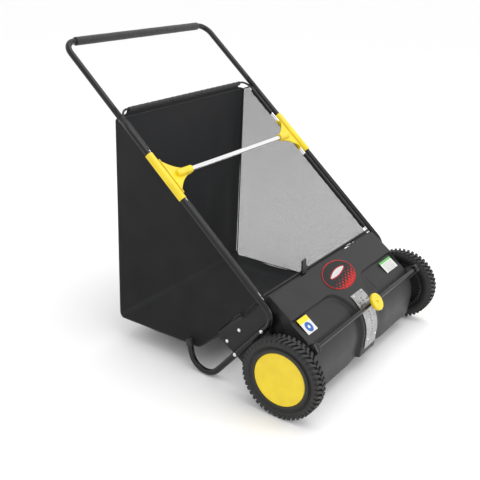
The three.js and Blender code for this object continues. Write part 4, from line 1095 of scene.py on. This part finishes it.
# %% Line of the bag from its mouth to the rear hem
tape = new_finish("binding_tape", (0.012, 0.012, 0.013), 0.62, Sheen_Weight=0.12, Sheen_Roughness=0.4)
add_patches(tape, 40, (0.010, 0.010, 0.011), (0.018, 0.018, 0.020), rough=(0.54, 0.7))
add_grain(tape, 1300, 0.25)
BAG_HALF, HEM_HALF = 361.4, 314.0
ROD_N, ROD_T = -3.0, 735.0
rear_rod = on_handle(0, ROD_T, ROD_N)
rod_y, rod_z = (rear_rod.y - AXLE.y) / MM, rear_rod.z / MM
BAG_LINE = [(264, 146), (300, 115), (335, 86), (342, 80.6), (350, 77), (360, 76), (370, 75.8), (520, 73),
            (664, 77.6), (676, 79.4), (684, 84), (688.6, 90), (690, 98), (690, 400), (688.6, 740), (686.6, 772),
            (684.4, 786), (rod_y + 5.4, rod_z + 1)]
bag_steps = [0.0]
for a, b in zip(BAG_LINE, BAG_LINE[1:]):
    bag_steps.append(bag_steps[-1] + math.dist(a, b))
bag_length = bag_steps[-1]


def bag_line(s):
    """Point (Y, Z) of the bag's line at s millimetres from its mouth, and the way out there."""
    i = next(k for k in range(1, len(bag_steps)) if s <= bag_steps[k] + 1e-6)
    share = (s - bag_steps[i - 1]) / (bag_steps[i] - bag_steps[i - 1])
    (y0, z0), (y1, z1) = BAG_LINE[i - 1], BAG_LINE[i]
    way = Vector((y1 - y0, z1 - z0)).normalized()
    return y0 + (y1 - y0) * share, z0 + (z1 - z0) * share, way.y, -way.x


def wave(s, start, length):
    """Half a sine from start over length, and nothing outside it."""
    return math.sin(math.pi * (s - start) / length) if start < s < start + length else 0.0


print("bag line", round(bag_length), "mm, rear hem at", round(rod_y), round(rod_z))

# %% Floor and back
panel = bmesh.new()
bmesh.ops.create_grid(panel, x_segments=150, y_segments=190, size=1, calc_uvs=True)
cloth_map = panel.loops.layers.uv.verify()
flat_place = {}
for vert in panel.verts:
    s = (vert.co.y + 1) / 2 * bag_length
    y, z, out_y, out_z = bag_line(s)
    narrow = smooth_step((z - 771) / 14) if s > 600 else 0.0
    half = BAG_HALF - (BAG_HALF - HEM_HALF) * narrow
    x = vert.co.x * half
    from_seam = min(1.0, (1 - abs(vert.co.x)) * half / 60)
    sag = 7 * wave(s, 110, 320) + 5 * wave(s, 450, bag_length - 470)   # of the floor and of the back
    crease = 2.4 * noise.noise(Vector((x / 130, s / 240, 3)))
    crease += 0.5 * noise.noise(Vector((x / 50 + s / 160, s / 70, 9)))
    push = (sag + crease * min(1.0, (bag_length - s) / 60)) * smooth_step(from_seam)
    flat_place[vert.index] = (x * MM, s * MM)
    vert.co = from_axle(x, y + out_y * push, z + out_z * push)
for face in panel.faces:
    for loop in face.loops:
        loop[cloth_map].uv = flat_place[loop.vert.index]
bmesh.ops.recalc_face_normals(panel, faces=panel.faces[:])
if sum(face.normal.z * face.calc_area() for face in panel.faces if face.calc_center_median().z < 0.09) > 0:
    bmesh.ops.reverse_faces(panel, faces=panel.faces[:])
bag_back = put("bag_floor_and_back", panel, "bag_shell", bag_cloth, sharp=80)
bag_back.data.uv_layers[0].name = "cloth"
add_wall(bag_back, 1.0, offset=0)
print("floor and back", len(bag_back.data.polygons), "faces")

# %% [markdown]
# ## Mesh sides
# Each side starts as one flat face with the outline of the side and is cut into a fine grid by
# planes. Its points are then moved outwards a little, most in the middle and not at all at the
# seams, and small pleats gather it under the rod.

# %% Mesh sides
ROD_SEAM_N = -10.5
side_outline = [(265.6, 147.2), (301, 116), (336, 87.6), (350.6, 78.8), (370, 77.6), (520, 74.8), (669.5, 79.8),
                (682.6, 84), (688, 96.4), (688, 400), (686.2, 772)]
for t in (716, 34):
    corner = on_handle(0, t, ROD_SEAM_N)
    side_outline.append(((corner.y - AXLE.y) / MM, corner.z / MM))
side_outline += [(134, 312), (180, 252), (205, 239), (270, 164)]


def from_edge(y, z):
    """Distance in millimetres from a point of the side to the nearest seam."""
    point = Vector((y, z, 0))
    nearest = 1e9
    for a, b in zip(side_outline, side_outline[1:] + side_outline[:1]):
        start, run = Vector((*a, 0)), Vector((b[0] - a[0], b[1] - a[1], 0))
        share = min(1.0, max(0.0, (point - start).dot(run) / run.length_squared))
        nearest = min(nearest, (point - start - run * share).length)
    return nearest


for side, sign in (("left", -1), ("right", 1)):
    net = bmesh.new()
    net.faces.new([net.verts.new(from_axle(362.6, y, z)) for y, z in side_outline])
    for axis, low_cut, high_cut in ((Vector((0, 1, 0)), 130, 690), (Vector((0, 0, 1)), 75, 800)):
        for cut in range(low_cut, high_cut, 14):
            place = from_axle(0, cut, 0) if axis.y else Vector((0, 0, cut * MM))
            whole = net.verts[:] + net.edges[:] + net.faces[:]
            bmesh.ops.bisect_plane(net, geom=whole, dist=1e-6, plane_co=place, plane_no=axis)
    cloth_map = net.loops.layers.uv.new("cloth")
    for face in net.faces:
        for loop in face.loops:
            loop[cloth_map].uv = (loop.vert.co.y, loop.vert.co.z)
    for vert in net.verts:
        y, z = (vert.co.y - AXLE.y) / MM, vert.co.z / MM
        inside = smooth_step(from_edge(y, z) / 90)
        up_t = (vert.co - on_handle(0, 0, 0)).dot(UP_HANDLE) / MM
        under = -(vert.co - on_handle(0, 0, ROD_SEAM_N)).dot(OFF_HANDLE) / MM
        pleat = 1.3 * math.sin(up_t / 9) * math.exp(-under / 22) * smooth_step(from_edge(y, z) / 12)
        ripples = 2.0 * noise.noise(Vector((y / 120, z / 120, sign * 4)))
        vert.co.x += (inside * (2.0 + ripples - 2.0 * smooth_step(z / 400)) + pleat) * MM
    if side == "left":
        bmesh.ops.scale(net, vec=(-1, 1, 1), verts=net.verts[:])
    bmesh.ops.recalc_face_normals(net, faces=net.faces[:])
    if (net.faces[:][0].normal.x > 0) != (sign > 0):
        bmesh.ops.reverse_faces(net, faces=net.faces[:])
    net_area = sum(face.calc_area() for face in net.faces)
    bag_net = put("bag_net_" + side, net, "bag_side_" + side, mesh_cloth, sharp=80)
    print("net", side, round(net_area, 3), "m2")

# %% Taped seams
for side, sign in (("left", -1), ("right", 1)):
    x = sign * 361.8
    seam = [from_axle(x, y, z) for y, z in ((264.4, 146.6), (344, 77.6), (686, 76.6), (687.4, 771))]
    front = [from_axle(x, y, z) for y, z in ((264.4, 147.4), (205, 236), (176, 254), (134.5, 309))]
    for name, line, bends, radius in (("seam_tape_", [*seam, on_handle(x, 712, -10)], [26, 16, 8], 2.2),
                                      ("seam_tape_front_", front, [16, 16], 2.0)):
        put(name + side, bent_tube(line, bends, radius, sides=14), "bag_side_" + side, tape)
print("seams taped")

# %% [markdown]
# ## Rods and sleeves
# The rod is one bent bar. The cloth is sewn round it in sleeves with gaps between them, where
# the clips hold the rod. A sleeve is turned about the rod, slightly gathered, and then pulled
# down to a point on its lower side, where it is stitched to the mesh.

# %% Rods
ROD_X, ROD_BEND = 361, 38


def rod_bend(from_t, radius):
    """The rod's U, from a place on one side tube round the back to the same place on the other."""
    corners = ((-ROD_X, from_t), (-ROD_X, ROD_T), (ROD_X, ROD_T), (ROD_X, from_t))
    return bent_tube([on_handle(x, t, ROD_N) for x, t in corners], [ROD_BEND, ROD_BEND], radius, sides=18)


rod = rod_bend(-4, 3.0)
bmesh.ops.holes_fill(rod, edges=[e for e in rod.edges if e.is_boundary])
put("bag_rod", rod, "bag_frame_rod", bright_chrome)
# Painted reflection: a black sleeve over the rear run of the chrome rod stands in for the dark surroundings the rod
# reflects there.
put("bag_rod_painted_dark_reflection", rod_bend(694, 3.7), "bag_frame_rod", tube_coat)
MOUTH_ROD = [(-357, 0), (-357, 3.4), (-356.4, 4), (356.4, 4), (357, 3.4), (357, 0)]
put("bag_mouth_rod", turned(MOUTH_ROD, from_axle(0, 121, 325), 24), "bag_front_rod", plate_coat)
print("rods")

# %% Flap between the mouth rod and the hood, drawn back in one place
FLAP_REAR, FLAP_FRONT = 124.6, 97
flap = bmesh.new()
bmesh.ops.create_grid(flap, x_segments=120, y_segments=6, size=1)
for vert in flap.verts:
    x, share = vert.co.x * 340, (vert.co.y + 1) / 2
    drawn = 20.5 * wave(x, 130, 120) ** 0.7
    y = FLAP_REAR - (FLAP_REAR - FLAP_FRONT - drawn) * share
    vert.co = from_axle(x, y, 322.6 - 3.2 * math.sin(math.pi * share) + 0.5 * math.sin(x / 7) * share)
bmesh.ops.recalc_face_normals(flap, faces=flap.faces[:])
mouth_flap = add_wall(put("bag_mouth_flap", flap, "bag_front_rod", tape, sharp=60), 0.8)
print("mouth flap")

# %% Sleeves and rear hem
def cloth_sleeve(name, node, start, end, centre, axis, below, radius, drop):
    """A gathered tube of cloth about a rod, pulled to a stitched fold on the side called below."""
    steps = max(8, round((end - start) / 4))
    places = [start + (end - start) * i / steps for i in range(steps + 1)]
    gathers = [0.315 * math.sin(at / 5.3) + 0.245 * math.sin(at / 2.9 + 1) for at in places]
    profile = [(at, radius + gather) for at, gather in zip(places, gathers)]
    sleeve = turned(profile, centre, 28, axis)
    for vert in sleeve.verts:
        away = (vert.co - centre).dot(below)
        if away > 0:
            vert.co += below * away * drop
    piece = put(name, sleeve, node, tape, sharp=60)


SLEEVE_R = 5.6
for side, sign in (("left", -1), ("right", 1)):
    centre = on_handle(sign * ROD_X, 0, ROD_N)
    for place, start, end in (("upper_", 575, 694), ("lower_", 22, 372)):
        cloth_sleeve("sleeve_" + place + side, "rod_sleeve_" + place + side, start, end, centre, UP_HANDLE,
                     -OFF_HANDLE, SLEEVE_R, 1.0)
under_hem = Vector((0, 0.35, -0.94)).normalized()
cloth_sleeve("rear_hem", "bag_shell", -HEM_HALF, HEM_HALF, rear_rod, ACROSS, under_hem, SLEEVE_R, 0.9)
STITCH = HEM_HALF + 20
for name, y in (("hem_stitch_outer", 686.9), ("hem_stitch_inner", 684.3)):
    line = turned([(-STITCH, 0), (-STITCH, 1.8), (STITCH, 1.8), (STITCH, 0)], from_axle(0, y, 773), 10)
    put(name, line, "bag_shell", tape)
print("sleeves and hem")
